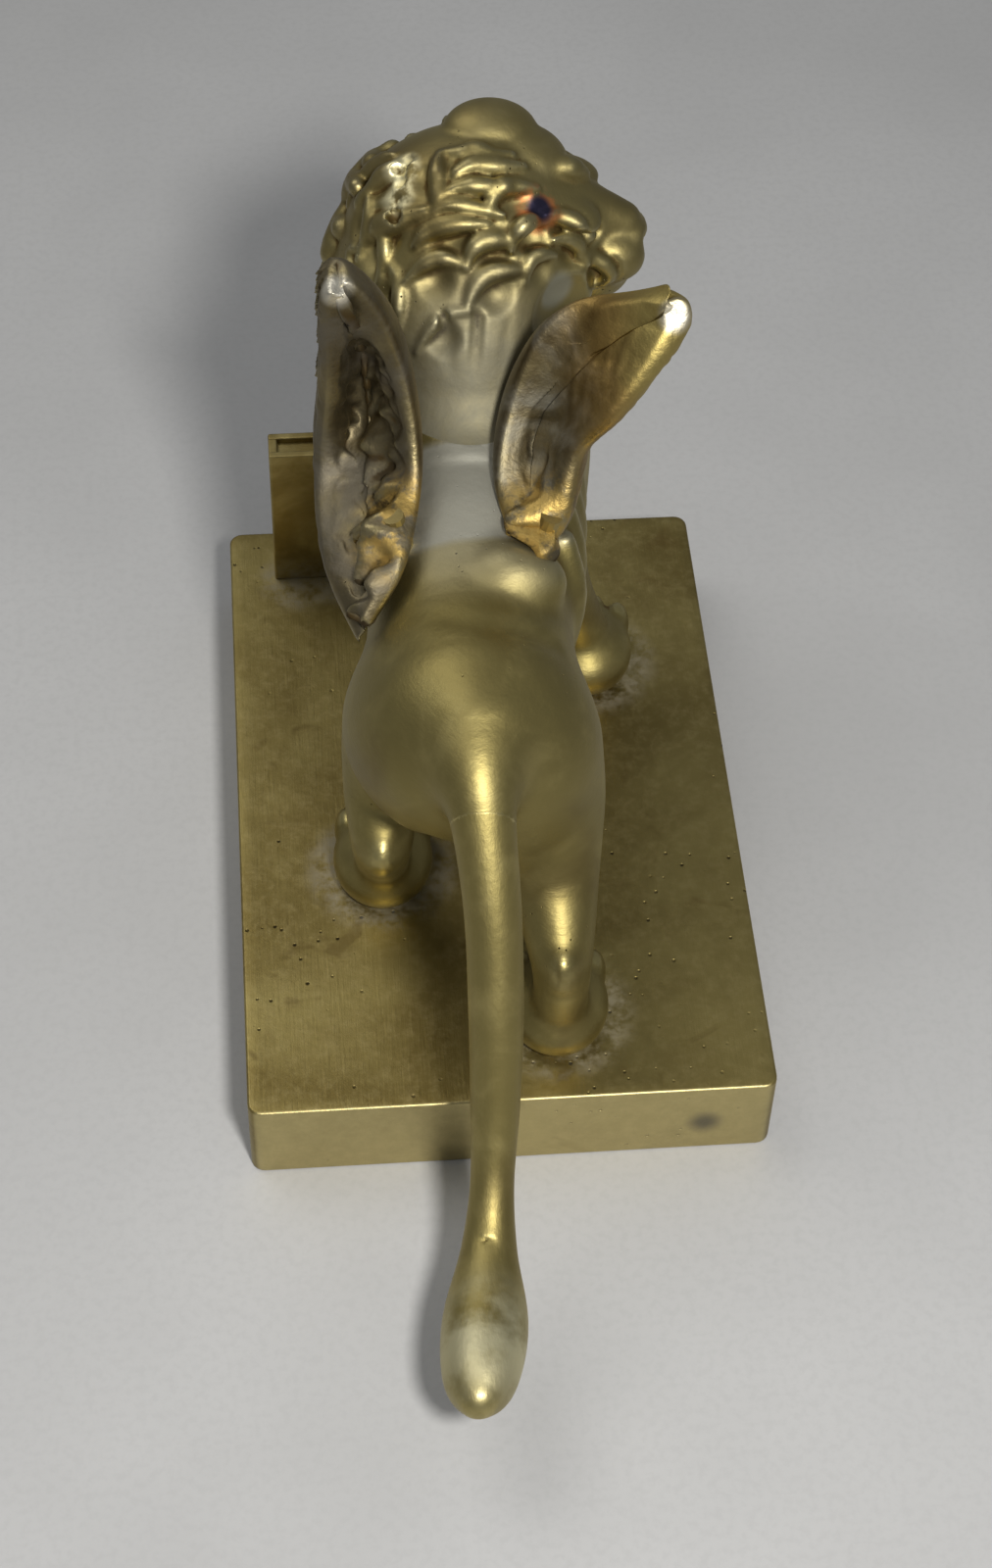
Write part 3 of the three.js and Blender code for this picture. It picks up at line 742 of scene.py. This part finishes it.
# Crescents of hair on the back of the head, each by three places (around, up) in degrees, and its width.
CURLS = [
    ((200, 74), (275, 85), (345, 70), 1.5),
    ((232, 62), (280, 76), (338, 62), 1.4),
    ((236, 52), (268, 64), (318, 56), 1.2),
    ((280, 50), (302, 61), (330, 50), 1.2),
    ((230, 40), (256, 53), (292, 47), 1.2),
    ((234, 27), (247, 41), (279, 44), 1.3),
    ((266, 24), (276, 35), (300, 31), 1.3),
    ((292, 28), (304, 39), (324, 33), 1.1),
    ((267, 6), (277, 18), (297, 17), 1.3),
    ((296, 10), (305, 21), (320, 15), 1.0),
    ((236, 10), (248, 24), (266, 22), 1.1),
    ((248, -12), (256, 0), (268, 4), 0.9),
    ((240, 46), (230, 60), (200, 72), 1.2),
    ((200, 6), (210, 26), (232, 45), 1.6),
    ((188, 22), (184, 40), (192, 58), 1.3),
    ((176, 12), (168, 32), (172, 48), 1.2),
    ((322, 38), (334, 28), (332, 14), 1.1),
    ((320, 24), (333, 16), (334, 2), 1.0),
    ((332, 8), (342, -2), (340, -16), 1.0),
    ((300, -6), (314, -16), (330, -20), 1.1),
    ((190, 30), (202, 22), (207, 6), 1.0),
    ((208, 26), (219, 17), (223, 2), 1.0),
    ((224, 14), (235, 4), (238, -12), 1.0),
    ((198, 4), (210, -6), (214, -20), 1.0),
    ((216, -6), (228, -14), (233, -28), 0.9),
]
# Rows of falling locks: the height, how many, where around they start and end, and their width.
LOCK_ROWS = [
    (46, 3, 62, 128, 1.2),
    (26, 8, 50, 180, 1.6),
    (4, 10, 50, 200, 1.7),
    (-14, 10, 50, 205, 1.7),
    (-34, 9, 50, 205, 1.5),
]
CHISEL_MARKS = [(186, 58), (196, 54), (206, 49), (215, 43), (223, 36)]
FACET = (314, -4)
HEAT_MARK = (319, 40)


def add_mane(clay):
    """Crescents on the back of the head, rows of falling locks round its far side and its collar, the
    forelock, the marks of a chisel and of a file, and the parting of the hair down the neck."""
    clay.add(egg(MANE + (-1.0, 0, 0.5), (13.1, 10.6, 11.4)), 1.5)
    bald = clay.copy()
    for *bend, size in CURLS:
        add_curl(clay, bald, bend, size)
    for level, (up, count, start, end, size) in enumerate(LOCK_ROWS):
        for i in range(count):
            around = start + (end - start) * (i + 0.5 * (level % 2)) / count + rng.normal(0, 2)
            swing = (9 + rng.uniform(0, 9)) * (-1 if (i + level) % 3 else 1)
            high, fall = up + rng.normal(0, 2), 26 + rng.uniform(-3, 5)
            add_lock(clay, bald, around, high, fall, swing, size * rng.uniform(0.85, 1.1))
    clay.add(egg((2.3, 35.0, 72.4), (5.4, 4.4, 3.4), (0, 6, 10)), 0.4)
    clay.add(egg((6.6, 33.0, 70.9), (4.6, 4.6, 2.8), (0, 22, 14)), 0.4)
    clay.add(limb([(8.6, 30.5, 70.8, 0.9), (10.8, 31.2, 70.6, 1.4), (12.4, 32.0, 69.0, 1.0)], 3), 0.6)
    for place in CHISEL_MARKS:
        clay.cut(egg(on_mane(*place, 0.5) + rng.normal(0, 0.15, 3), (0.9, 0.9, 0.9)), 0.15)
    facet = toward(*FACET)
    clay.cut(egg(MANE + facet * (bald.outermost(MANE, facet) + 6.2), (7, 7, 7)), 0.2)
    for x, lean in ((-5.6, -1.4), (-2.4, -0.6), (0.4, 0.4), (3.4, 1.2)):
        parting = [(x + lean, 16, 62.5, 0.4), (x, 11.5, 57.6, 0.5), (x - lean * 0.6, 7.5, 54.8, 0.3)]
        clay.cut(limb(parting), 0.9)


def add_face(clay):
    """A lion's face, looking to +X: skull, bridge, chin and nose, then on each side a muzzle pad, cheek,
    brow, eye in its socket, nostril and ear, then the mouth, the lip's cleft and the beard."""
    y = FACE_Y
    clay.add(egg((6.8, y, 62.4), (8.8, 8.2, 8.2)), 1.2)
    clay.add(limb([(8.6, y, 66.6, 3.5), (13.6, y, 64.6, 3.0), (17.0, y, 63.2, 2.4)]), 1.2)
    clay.add(egg((13.6, y, 57.0), (5.0, 4.4, 3.8)), 1.2)
    clay.add(egg((18.5, y, 62.4), (1.6, 2.6, 1.4), (0, 20, 0)), 0.5)
    for side in (-1, 1):
        clay.add(egg((15.6, y + side * 2.2, 60.2), (4.2, 3.2, 3.4)), 0.8)
        clay.add(egg((9.4, y + side * 6.0, 59.6), (4.6, 3.2, 4.8)), 1.0)
        clay.add(egg((11.6, y + side * 4.0, 67.2), (3.1, 2.5, 1.4), (side * -14, 18, 0)), 0.5)
        clay.cut(egg((13.4, y + side * 4.4, 65.0), (2.0, 1.7, 1.2)), 0.5)
        clay.add(egg((12.6, y + side * 4.2, 64.9), (1.5, 1.3, 1.0)), 0.15)
        clay.cut(egg((19.9, y + side * 1.3, 62.1), (0.9, 0.6, 0.5)), 0.2)
        clay.add(egg((5.6, y + side * 8.0, 68.0), (2.3, 1.4, 2.5), (side * -16, 0, 0)), 0.5)
        clay.cut(egg((7.0, y + side * 8.6, 68.2), (1.3, 0.8, 1.6), (side * -16, 0, 0)), 0.4)
    clay.cut(egg((18.2, y, 58.2), (3.6, 4.2, 0.4), (0, -6, 0)), 0.35)
    clay.cut(egg((19.5, y, 60.3), (1.0, 0.28, 1.4)), 0.2)
    for i in range(7):
        offset = (i - 3) * 1.7
        tuft = [(11.6 - abs(offset) * 0.4, y + offset, 57.0, 2.0)]
        tuft += [(11.2, y + offset * 1.1, 53.2, 1.7), (9.6, y + offset * 0.9, 50.4, 0.6)]
        clay.add(limb(tuft, 3), 0.3)


def head_clay():
    """Neck, mane and face, with the shoulders that they grow from."""
    clay = Clay((-18, -8, 40), (23, 48, 78), 0.32)
    add_trunk(clay)
    clay.add(limb(NECK_ROWS), 5)
    clay.add(egg(MANE, MANE_RADII), 2.0)
    clay.add(egg((-3.2, 28.0, 56.6), (12.6, 11, 10.4)), 4.0)
    add_face(clay)
    add_mane(clay)
    for start, end in (((-4.5, 9.6, 60.5), (-1.4, 8.6, 55.2)), ((3.4, 10.2, 60), (1.0, 8.6, 55.5))):
        clay.cut(round_cone(start, end, 0.5, 0.25), 0.8)
    add_file_marks(clay)
    return clay


# ------------------------------------------------------------------ wings
def shingles(out, up, rows):
    """Height of overlapping feathers, from rows of (start, end, count, lift, lean). In each row a feather is
    a strip across up that runs out from the leading edge: it rises along its length, is crowned across,
    has a grooved midrib, and ends in a rounded tip where the next row under it shows."""
    height = np.zeros_like(out)
    for start, end, count, lift, lean in rows:
        strip = up * count + lean * out
        across = 2 * (strip - np.floor(strip)) - 1
        tip = end - 0.3 * (end - start) * across**2
        inside = (out > start) & (out < tip)
        crown = np.sqrt(np.clip(1 - across**2, 0, 1))
        comb = 0.06 * np.sin(60 * out + 9 * np.abs(across))
        rib = -0.16 * np.exp(-((across / 0.09) ** 2))
        rise = lift * (0.35 + 0.65 * (out - start) / (end - start))
        height = np.where(inside, np.maximum(height, rise * (0.45 + 0.55 * crown) + comb + rib), height)
    return height


def wing_shell(lead, outer, inner, thickness, cells=(150, 191)):
    """A wing as one folded sheet. For each height u the sheet runs from the outer rear edge, round the
    leading edge and back to the inner rear edge: a quarter superellipse on each side. It is given
    thickness along its normal, which falls to nothing in a half ellipse at all four rims."""
    u = np.linspace(0, 1, cells[0])[:, None] * np.ones(cells[1])
    v = np.linspace(-1, 1, cells[1])[None, :] * np.ones((cells[0], 1))
    front = along(lead, u)
    edge = np.where((v < 0)[..., None], along(outer, u), along(inner, u))
    turn = np.abs(v) * np.pi / 2
    sideways = np.sin(turn) ** 0.85
    backward = 1 - np.cos(turn) ** 1.15
    weight = np.stack([sideways, backward, 0.5 * (sideways + backward)], -1)
    sheet = front + (edge - front) * weight
    du = np.gradient(sheet, axis=0)
    dv = np.gradient(sheet, axis=1)
    normal = np.cross(du, dv)
    normal /= np.maximum(np.linalg.norm(normal, axis=2, keepdims=True), 1e-9)
    rim = np.sqrt(np.clip(1 - np.abs(v) ** 14, 0, 1))
    ends = np.sqrt(np.clip(1 - np.abs(2 * u - 1) ** 18, 0, 1))
    return sheet, normal, rim * ends * thickness / 2, u, v


FEATHER_ROWS = [(0.0, 0.34, 9, 1.1, 1.2), (0.2, 0.6, 7.5, 0.9, 1.6), (0.45, 1.3, 6.5, 0.6, 2.0)]


def wing(name, side, curves, thickness, fill, rough, material):
    """The folded sheet with feathers raised on its outer face. Its hollow is partly filled: each point of
    the inner face is moved a share of the way to the open side, all the way at both ends, and is rough."""
    sheet, normal, half, u, v = wing_shell(*curves, thickness)
    reach, fold = np.abs(v), u.shape[1] // 2
    inward = side * normal
    ends = smoothstep(0, 0.08, u) * smoothstep(1, 0.93, u)
    sealed = smoothstep(0, 0.015, u) * smoothstep(1, 0.985, u)
    across = (v[..., None] + 1) / 2
    open_side = sheet[:, :1] * (1 - across) + sheet[:, -1:] * across
    hollow = smoothstep(1.5, 5.0, np.linalg.norm(open_side[:, fold] - sheet[:, fold], axis=1)[:, None])

    feathers = np.where(v < 0, shingles(reach, u, FEATHER_ROWS), 0) * ends * smoothstep(1.0, 0.9, reach)
    face = sheet - inward * (half + feathers * hollow)[..., None]

    filled = fill + (1.0 - fill) * np.maximum(smoothstep(0.36, 0.12, u), smoothstep(0.58, 0.94, u))
    floor = sheet + (open_side - sheet) * (filled * sealed)[..., None]
    bumps = rough * (lumps(floor, 4.2) + 0.5 * lumps(floor, 1.8))
    bumps += (0.15 + rough) * lumps(floor, 3.1) * smoothstep(0.5, 0.2, u)
    raised = half + (short_ridges(v, u) * ends + bumps) * (1 - reach**4) * hollow * sealed
    raised += over_dowels(name, floor) * (1 - reach**8) * sealed
    back = floor + inward * raised[..., None]

    points = np.concatenate([face.reshape(-1, 3), back.reshape(-1, 3)])
    faces = grid_faces(*u.shape)
    both = np.vstack([faces[:, ::-1], faces + u.size])
    obj = piece(name, on_plate(points), both, material, [name])
    close_seams(obj)
    worn(obj.data)


def short_ridges(v, u):
    """Three short feather quills inside the wing, near its inner rim: narrow Gaussian ridges across it."""
    ridge, narrow = 0.45, 0.011
    level = u + 0.10 * (np.abs(v) - 0.6)
    ridges = sum(np.exp(-(((level - height) / narrow) ** 2)) for height in (0.47, 0.55, 0.63))
    return ridge * ridges * smoothstep(0.35, 0.55, v) * smoothstep(0.95, 0.8, v)


def over_dowels(name, floor):
    """Height of the lumps of metal that cover the wing's dowels: a Gaussian hill round each one."""
    hill, spread = 2.6, 2.3
    points = on_plate(floor)
    hills = np.zeros(len(points))
    for end in ("front", "rear"):
        low, high = corners(f"{name}_dowel_{end}")
        middle = (low + high) / 2
        beside = np.linalg.norm(points[:, :2] - middle[:2], axis=1)
        above = np.maximum(points[:, 2] - high[2], 0)
        hills = np.maximum(hills, hill * np.exp(-((np.hypot(beside, above) / spread) ** 2)))
    return hills.reshape(floor.shape[:-1])


def lumps(points, size):
    """Cast roughness between -1 and 1: the mean of waves of one length in random directions."""
    total = np.zeros(points.shape[:-1])
    waves = 14
    for _ in range(waves):
        direction = rng.normal(size=3)
        direction *= 2 * np.pi / (size * np.linalg.norm(direction))
        total += np.sin(points @ direction + rng.uniform(0, 6.28))
    return total / np.sqrt(waves)


def close_seams(obj):
    """Merges the coincident points of a closed form's rims and turns its faces outward."""
    shape = bmesh.new()
    shape.from_mesh(obj.data)
    bmesh.ops.remove_doubles(shape, verts=shape.verts, dist=0.02 * MM)
    bmesh.ops.recalc_face_normals(shape, faces=shape.faces)
    shape.to_mesh(obj.data)
    shape.free()
    obj.data.shade_smooth()


# Each wing's leading edge, outer rear edge and inner rear edge, from its root to its tip.
LEFT_WING = (
    [(-9.6, 20, 44), (-10.6, 20, 54), (-12.0, 17, 65), (-13.6, 10.5, 73.5), (-14.2, 8.2, 76.4)],
    [(-12.2, -13.4, 42), (-15.4, -5.6, 45), (-16.0, 5, 50)]
    + [(-15.2, 6.5, 60), (-14.9, 5.5, 70), (-14.6, 4.2, 76.2)],
    [(-11.2, -13.4, 44.4), (-7.6, -8.8, 49.2), (-6.2, -0.2, 53.5)]
    + [(-7.4, 4.7, 62), (-10.0, 5.6, 70.5), (-13.6, 5.6, 76.4)],
)
RIGHT_WING = (
    [(9.4, 20, 44), (9.6, 19, 52), (10.2, 16, 59), (12.0, 12, 65.2), (17.0, 8.8, 70.2), (20.4, 6.6, 73.4)],
    [(7.6, -5.0, 47.6), (9.8, -4.2, 51.4), (11.4, -0.6, 57.8), (14.9, -0.9, 63.4)]
    + [(18.8, 1.2, 68.8), (21.4, 3.6, 72.2), (21.0, 5.2, 74.6)],
    [(6.0, -4.9, 48.4), (4.3, -4.0, 50.4), (3.4, 0.4, 52.8), (4.8, 5.8, 58)]
    + [(7.9, 8.8, 65.5), (12.4, 9.8, 69.6), (17.4, 8.2, 72.6), (20.4, 6.0, 74.9)],
)
LEFT_TIP, RIGHT_TIP = (-14.2, 5.4, 75.6), (21.0, 4.4, 73.0)


# ------------------------------------------------------------------ plate, book and screws
def hole_rows(node):
    """The countersunk hole round a screw, as (radius, height), read from the screw's own box."""
    low, high = corners(node)
    head = (high[0] - low[0]) / 2 + 0.15
    shank = head * 0.5
    return [(head, -1), (head, low[2] + 0.35), (shank, low[2] + head * 0.55), (shank, DECK - 1.0)]


SCREWS = sorted(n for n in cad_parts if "_screw_" in n)
HOOD_HOLES = [(0, -22.0), (0, 22.0)]
HOOD_HOLE_ROWS = [(2.9, -1), (2.9, 0.05), (2.45, 0.5), (2.45, 8), (0.4, 9)]


def axis_of(node):
    """Where a screw's own axis stands, at the plate's underside."""
    low, high = corners(node)
    return np.array([(low[0] + high[0]) / 2, (low[1] + high[1]) / 2, 0])


def plate():
    """A rounded block, countersunk for its screws and drilled for the hood's bolts from underneath."""
    points, faces = rounded_block(PLATE_LOW, PLATE_HIGH, corner=1.6, edge=0.35)
    obj = piece("base_plate_cast", points, faces, plate_brass(), ["base_plate"])
    holes = [(axis_of(node), hole_rows(node)) for node in SCREWS]
    holes += [(np.array([x, y, 0]), HOOD_HOLE_ROWS) for x, y in HOOD_HOLES]
    cutters = []
    for place, rows in holes:
        points, faces = lathe(rows)
        cutters.append((points + place, faces))
    bored(obj, cutters)


def screw(node):
    """A slotted countersunk head and its shank, lathed about the screw's own axis."""
    low, high = corners(node)
    head, z = (high[0] - low[0]) / 2, low[2]
    profile = [(0.01, z), (head - 0.25, z), (head, z + 0.12), (head, z + 0.3), (head * 0.5, z + head * 0.5)]
    profile += [(head * 0.5, high[2] - 0.4), (head * 0.3, high[2]), (0.01, high[2])]
    points, faces = lathe(profile)
    axis = axis_of(node)
    obj = piece(f"{node}_turned", points + axis, faces, PIN, [node])
    slot_low = axis + (-5, -head * 0.14, z - 1)
    slot_high = axis + (5, head * 0.14, z + head * 0.22)
    bored(obj, [rounded_block(slot_low, slot_high, 0.1, 0.05, 3)])


def book():
    """Two boards and a spine round a block of pages, as one solid casting with its edges stepped in."""
    board, lip, spine = 1.0, 0.75, 1.1
    low, high = BOOK_LOW, BOOK_HIGH
    boxes = [
        (low, (high[0], low[1] + board, high[2])),
        ((low[0], high[1] - board, low[2]), high),
        ((low[0], low[1] + 0.3, low[2]), (low[0] + spine, high[1] - 0.3, high[2] - 0.1)),
    ]
    blocks = [rounded_block(*box, 0.3, 0.15, 4) for box in boxes]
    pages_low = (low[0] + 0.6, low[1] + board * 0.6, low[2])
    pages_high = (high[0] - lip, high[1] - board * 0.6, high[2] - lip)
    blocks.append(rounded_block(pages_low, pages_high, 0.25, 0.1, 4))
    faces = []
    count = 0
    for block_points, block_faces in blocks:
        faces += [[i + count for i in face] for face in block_faces]
        count += len(block_points)
    points = np.vstack([block_points for block_points, _ in blocks])
    piece("book_cast", points, faces, book_brass(), ["book"], sharp=SHARP_EDGE)


# ------------------------------------------------------------------ finishes of each piece
def halo(s, colour, roughness, centres, radius, soft):
    """Dried polish left in a ring on the plate round a foot."""
    ring = s.spot(centres[0], radius, soft)
    for centre in centres[1:]:
        ring = (ring + s.spot(centre, radius, soft)).clamp()
    patchy = ring * s.noise(380, 4, 0.7).band(0.35, 0.65)
    return s.mix(patchy * 0.55, colour, RESIDUE), roughness + patchy * 0.25


def plate_brass():
    """Clouded, stained and pitted brass, with dried polish round the feet and painted light on its rear face:
    that face, turned to the lamp beside the camera, is painted lighter.
    """
    s = Shader("plate_aged_brass")
    cloud = s.noise(38, 5, 0.6, 0.6)
    fine = s.noise(700, 4, 0.7)
    stain = s.noise(90, 3, 0.55, 1.2).band(0.58, 0.7)
    colour = s.mix(cloud.band(0.3, 0.7), (0.20, 0.15, 0.048, 1), (0.34, 0.275, 0.10, 1))
    colour = s.mix(fine.band(0.4, 0.8) * 0.35, colour, (0.46, 0.38, 0.17, 1))
    colour = s.mix(stain * 0.45, colour, BROWN)
    pits = s.specks(520, 0.14) * s.noise(60, 2).band(0.5, 0.6)
    colour = s.mix(pits * 0.9, colour, BLACK_PIT)
    feet = [on_plate((x, y, 0))[0] for x, y in (RIGHT_HIND, LEFT_HIND, RIGHT_FORE)]
    roughness = 0.38 + fine * 0.14 + stain * 0.1 + pits * 0.3
    colour, roughness = halo(s, colour, roughness, feet, 8.6, 1.6)
    book_foot = [(BOOK_LOW[0] + 3, BOOK_LOW[1] - 0.5, DECK), (BOOK_LOW[0] + 9, BOOK_LOW[1], DECK)]
    colour, roughness = halo(s, colour, roughness, book_foot, 4.6, 1.5)
    # painted light: the rear face, turned to the lamp beside the camera, is painted lighter
    painted_lit_rear_face = s.along(1).band(PLATE_LOW[1] + 0.5, PLATE_LOW[1] + 0.1)
    colour = s.mix(painted_lit_rear_face * (fine * 0.4 + 0.45), colour, PAINTED_LIT_FACE)
    grey = s.spot((PLATE_HIGH[0] - 8, PLATE_LOW[1], DECK * 0.45), 1.6, 1.2) * 0.8
    colour = s.mix(grey, colour, STAIN_GREY)
    scratch = s.noise(500, 3, 0.6, 0, (6, 0.35, 6))
    return s.finish(colour, roughness, [(scratch, 0.02), (fine, 0.03), (pits * -1, 0.15)])


def book_brass():
    """Mottled brass with dried polish low down."""
    s = Shader("book_aged_brass")
    fine = s.noise(600, 4, 0.7)
    colour = s.mix(s.noise(120, 4, 0.6, 0.6).band(0.35, 0.7), (0.24, 0.18, 0.06, 1), (0.42, 0.34, 0.14, 1))
    low_down = s.along(2).band(DECK + 5, DECK + 0.5) * fine.band(0.3, 0.7)
    colour = s.mix(low_down * 0.6, colour, RESIDUE)
    return s.finish(colour, 0.4 + fine * 0.15, [(fine, 0.04)])


def head_marks(s, colour, roughness):
    """A blue-black heat mark with an orange rim, a bright chisel mark, a grey filed facet and a dull neck."""
    ragged = s.noise(500, 3, 0.6).band(0.35, 0.55)
    heated = on_plate(on_mane(*HEAT_MARK))[0]
    colour = s.mix(s.spot(heated, 2.5, 0.7) * ragged * 0.85, colour, HEAT_ORANGE)
    core = s.spot(heated, 1.5, 0.5)
    colour = s.mix(core, colour, HEAT_BLUE)
    chisel = [s.spot(on_plate(on_mane(*place))[0], 1.7, 1.0) for place in ((194, 55), (212, 45))]
    colour = s.mix((chisel[0] + chisel[1]).clamp() * ragged, colour, FRESH_CUT)
    neck = s.along(1).band(22, 12)
    cast_skin = s.noise(380, 5, 0.65, 0.3)
    colour = s.mix(neck * (0.4 + cast_skin * 0.6), colour, NECK_GREY)
    roughness = roughness + neck * (0.08 + cast_skin * 0.2)
    facet = s.spot(on_plate(on_mane(*FACET, 0.6))[0], 2.3, 0.6)
    return s.mix(facet * 0.7, colour, FACET_GREY), roughness - core * 0.12 + facet * 0.12


def filed_band(s, colour, roughness):
    """The grey filed flat across the back between the wings, and the fainter grey behind it."""
    y, z = s.along(1), s.along(2)
    front = y.band(8.5, 6.5)
    flat = y.band(-6.0, -4.2) * front * z.band(DECK + 45.6, DECK + 47.6)
    fainter = y.band(-15.0, -6.0) * front * z.band(DECK + 46.5, DECK + 48.5) * 0.35
    uneven = s.noise(260, 5, 0.65, 0.4)
    grey = (flat * (0.55 + uneven * 0.6) + fainter).clamp()
    return s.mix(grey * 0.9, colour, FILED_GREY), roughness + grey * (0.08 + uneven * 0.16)


def painted_tuft_highlight(s, colour, roughness):
    """The tail's tuft, with a painted highlight on its upper side."""
    low, high = corners("tail")
    tuft = ((low[0] + high[0]) / 2, low[1] + 8, low[2] + 8)
    # painted highlight: a pale patch on the tuft's upper side, where the light falls
    painted_highlight = s.spot(tuft, 6.0, 4.0) * s.noise(140, 4, 0.6).band(0.3, 0.6)
    return s.mix(painted_highlight * 0.75, colour, TUFT_HIGHLIGHT_PAINT), roughness + painted_highlight * 0.05


def wing_finish(name, grey, gold, warm_from, warm_to, tip):
    """Grey, sooty brass that turns amber and then gold across the wing, between two places along X, with
    golden cast-on metal over its rear dowel, painted shade in its deep hollows, and a bare ground tip painted
    whitish, partly as a painted highlight."""

    def extra(s, colour, roughness):
        soot = s.noise(110, 4, 0.6, 0.8).band(0.40, 0.66)
        colour = s.mix(soot * 0.6, colour, grey)
        across = s.along(0) + (s.noise(70, 3, 0.6, 0.6) - 0.5) * 5
        half_way = (warm_from + warm_to) / 2
        colour = s.mix(across.band(warm_from, half_way) * 0.75, colour, AMBER)
        colour = s.mix(across.band(half_way, warm_to) * 0.85, colour, gold)
        # painted shade: the deep hollows of the wing are darkened
        painted_shade_hollow = s.stored("broad_edge").band(0.0, -0.5)
        colour = s.mix(painted_shade_hollow * 0.6, colour, PAINTED_HOLLOW_SHADE)
        low, high = corners(f"{name}_dowel_rear")
        cast_on = s.spot((low + high) / 2 + (0, 0, 2), 5.5, 2.5) * s.noise(330, 4, 0.65).band(0.40, 0.56)
        colour = s.mix(cast_on * 0.85, colour, CAST_ON)
        # bare ground tip, painted whitish partly as a painted highlight
        bare_and_highlight = s.spot(on_plate(tip)[0], 1.5, 0.8)
        return s.mix(bare_and_highlight * 0.9, colour, BARE_TIP_AND_HIGHLIGHT), roughness + soot * 0.16 + painted_shade_hollow * 0.12

    dull, bright = (0.14, 0.115, 0.065, 1), (0.32, 0.265, 0.13, 1)
    return brass(name + "_brass", dull, bright, tarnish=0.75, grain=0.11, extra=extra)


def body_brass():
    dull, bright = (0.25, 0.205, 0.075, 1), (0.42, 0.355, 0.15, 1)
    return brass("body_cast_brass", dull, bright, tarnish=0.4, file_marks=(1, 1, 4), extra=filed_band)


def head_brass():
    dull, bright = (0.26, 0.215, 0.088, 1), (0.36, 0.315, 0.165, 1)
    return brass("head_cast_brass", dull, bright, tarnish=0.45, extra=head_marks)


def tail_brass():
    # the tuft carries a painted highlight
    return brass("tail_cast_brass", OLIVE, GOLD, tarnish=0.35, file_marks=(3, 1, 1), extra=painted_tuft_highlight)


PIN = brass("turned_brass", (0.36, 0.29, 0.12, 1), (0.5, 0.41, 0.19, 1), tarnish=0.3)


# ------------------------------------------------------------------ making it all
def joint(point_and_normal, lowest, backward=False):
    """A plane to saw along, down to a lowest height, and which side of it is left."""
    point, normal = point_and_normal
    return point, tuple(-n for n in normal) if backward else normal, lowest


def make_object():
    body_joints = [joint(NECK_JOINT, 0), joint(TAIL_JOINT, LEGS_TOP)]
    casting("lion_body_cast", body_clay(), body_brass(), ["lion_body"], body_joints)
    neck = [joint(NECK_JOINT, 0, backward=True)]
    casting("lion_head_cast", head_clay(), head_brass(), ["lion_head"], neck)
    tail = [joint(TAIL_JOINT, LOWEST, backward=True)]
    casting("tail_cast", tail_clay(), tail_brass(), ["tail"], tail)
    grey, gold = (0.17, 0.155, 0.125, 1), (0.40, 0.29, 0.09, 1)
    sooty = wing_finish("left_wing", grey, gold, -8.5, -3.0, LEFT_TIP)
    grey, gold = (0.28, 0.27, 0.225, 1), (0.36, 0.29, 0.10, 1)
    warm = wing_finish("right_wing", grey, gold, 6.0, 17.0, RIGHT_TIP)
    wing("left_wing", -1, LEFT_WING, thickness=2.2, fill=0.46, rough=0.42, material=sooty)
    wing("right_wing", 1, RIGHT_WING, thickness=2.6, fill=0.62, rough=0.12, material=warm)
    plate()
    book()
    for node in SCREWS:
        screw(node)
    for node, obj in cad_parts.items():
        if not obj.hide_render:
            obj.data.materials.clear()
            obj.data.materials.append(PIN)


# ------------------------------------------------------------------ floor, light and camera
def table():
    """A pale laminate table top: a flat grid 3.2 m wide."""
    reach, cells = 1.6, 3
    x = np.linspace(-reach, reach, cells)
    points = np.stack([*np.meshgrid(x, x, indexing="ij"), np.zeros((cells, cells))], -1).reshape(-1, 3)
    obj = new_object("table_top", new_mesh("table_top", points, grid_faces(cells, cells)))
    s = Shader("pale_laminate")
    cloud = s.noise(9, 4, 0.6)
    fine = s.noise(900, 3, 0.6)
    colour = s.mix(cloud.band(0.3, 0.7), (0.385, 0.385, 0.38, 1), (0.44, 0.44, 0.435, 1))
    colour = s.mix(fine.band(0.4, 0.7) * 0.25, colour, (0.34, 0.34, 0.335, 1))
    obj.data.materials.append(s.finish(colour, 0.6, [(fine, 0.01)], metallic=0.0))


def area_light(name, place, size, power):
    """A round warm light turned to the middle of the ornament."""
    light = bpy.data.lights.new(name, "AREA")
    light.shape = "DISK"
    light.size = size
    light.energy = power
    light.color = (1, 0.98, 0.95)
    obj = new_object(name, light)
    obj.location = place
    obj.rotation_euler = (Vector((0, 0, 0.04)) - Vector(place)).to_track_quat("-Z", "Y").to_euler()


def lights():
    """A dim cool room, a small light beside the camera and a wide one overhead."""
    world = bpy.data.worlds.new("room")
    world.use_nodes = True
    background = world.node_tree.nodes["Background"]
    background.inputs["Color"].default_value = (0.80, 0.83, 0.88, 1)
    background.inputs["Strength"].default_value = 0.28
    bpy.context.scene.world = world
    area_light("key_by_camera", (0.045, -0.25, 0.33), size=0.05, power=1.5)
    area_light("soft_top", (-0.25, 0.2, 0.55), size=0.4, power=1.0)


CAMERA_PLACE = (-0.02227, -0.22575, 0.29258)
CAMERA_TURN = {"yaw": 5.985, "pitch": 50.919, "roll": 1.893}
LENS = 67.9


def camera():
    data = bpy.data.cameras.new("camera")
    data.lens = LENS
    data.sensor_width = 36
    data.clip_start = 0.01
    obj = new_object("camera", data)
    yaw, pitch, roll = (np.radians(CAMERA_TURN[k]) for k in ("yaw", "pitch", "roll"))
    turn = Matrix.Rotation(-yaw, 4, "Z") @ Matrix.Rotation(np.pi / 2 - pitch, 4, "X")
    turn = turn @ Matrix.Rotation(roll, 4, "Z")
    obj.matrix_world = Matrix.Translation(CAMERA_PLACE) @ turn
    bpy.context.scene.camera = obj


make_object()
table()
lights()
camera()
bpy.context.scene.view_settings.view_transform = "Standard"
bpy.context.view_layer.update()
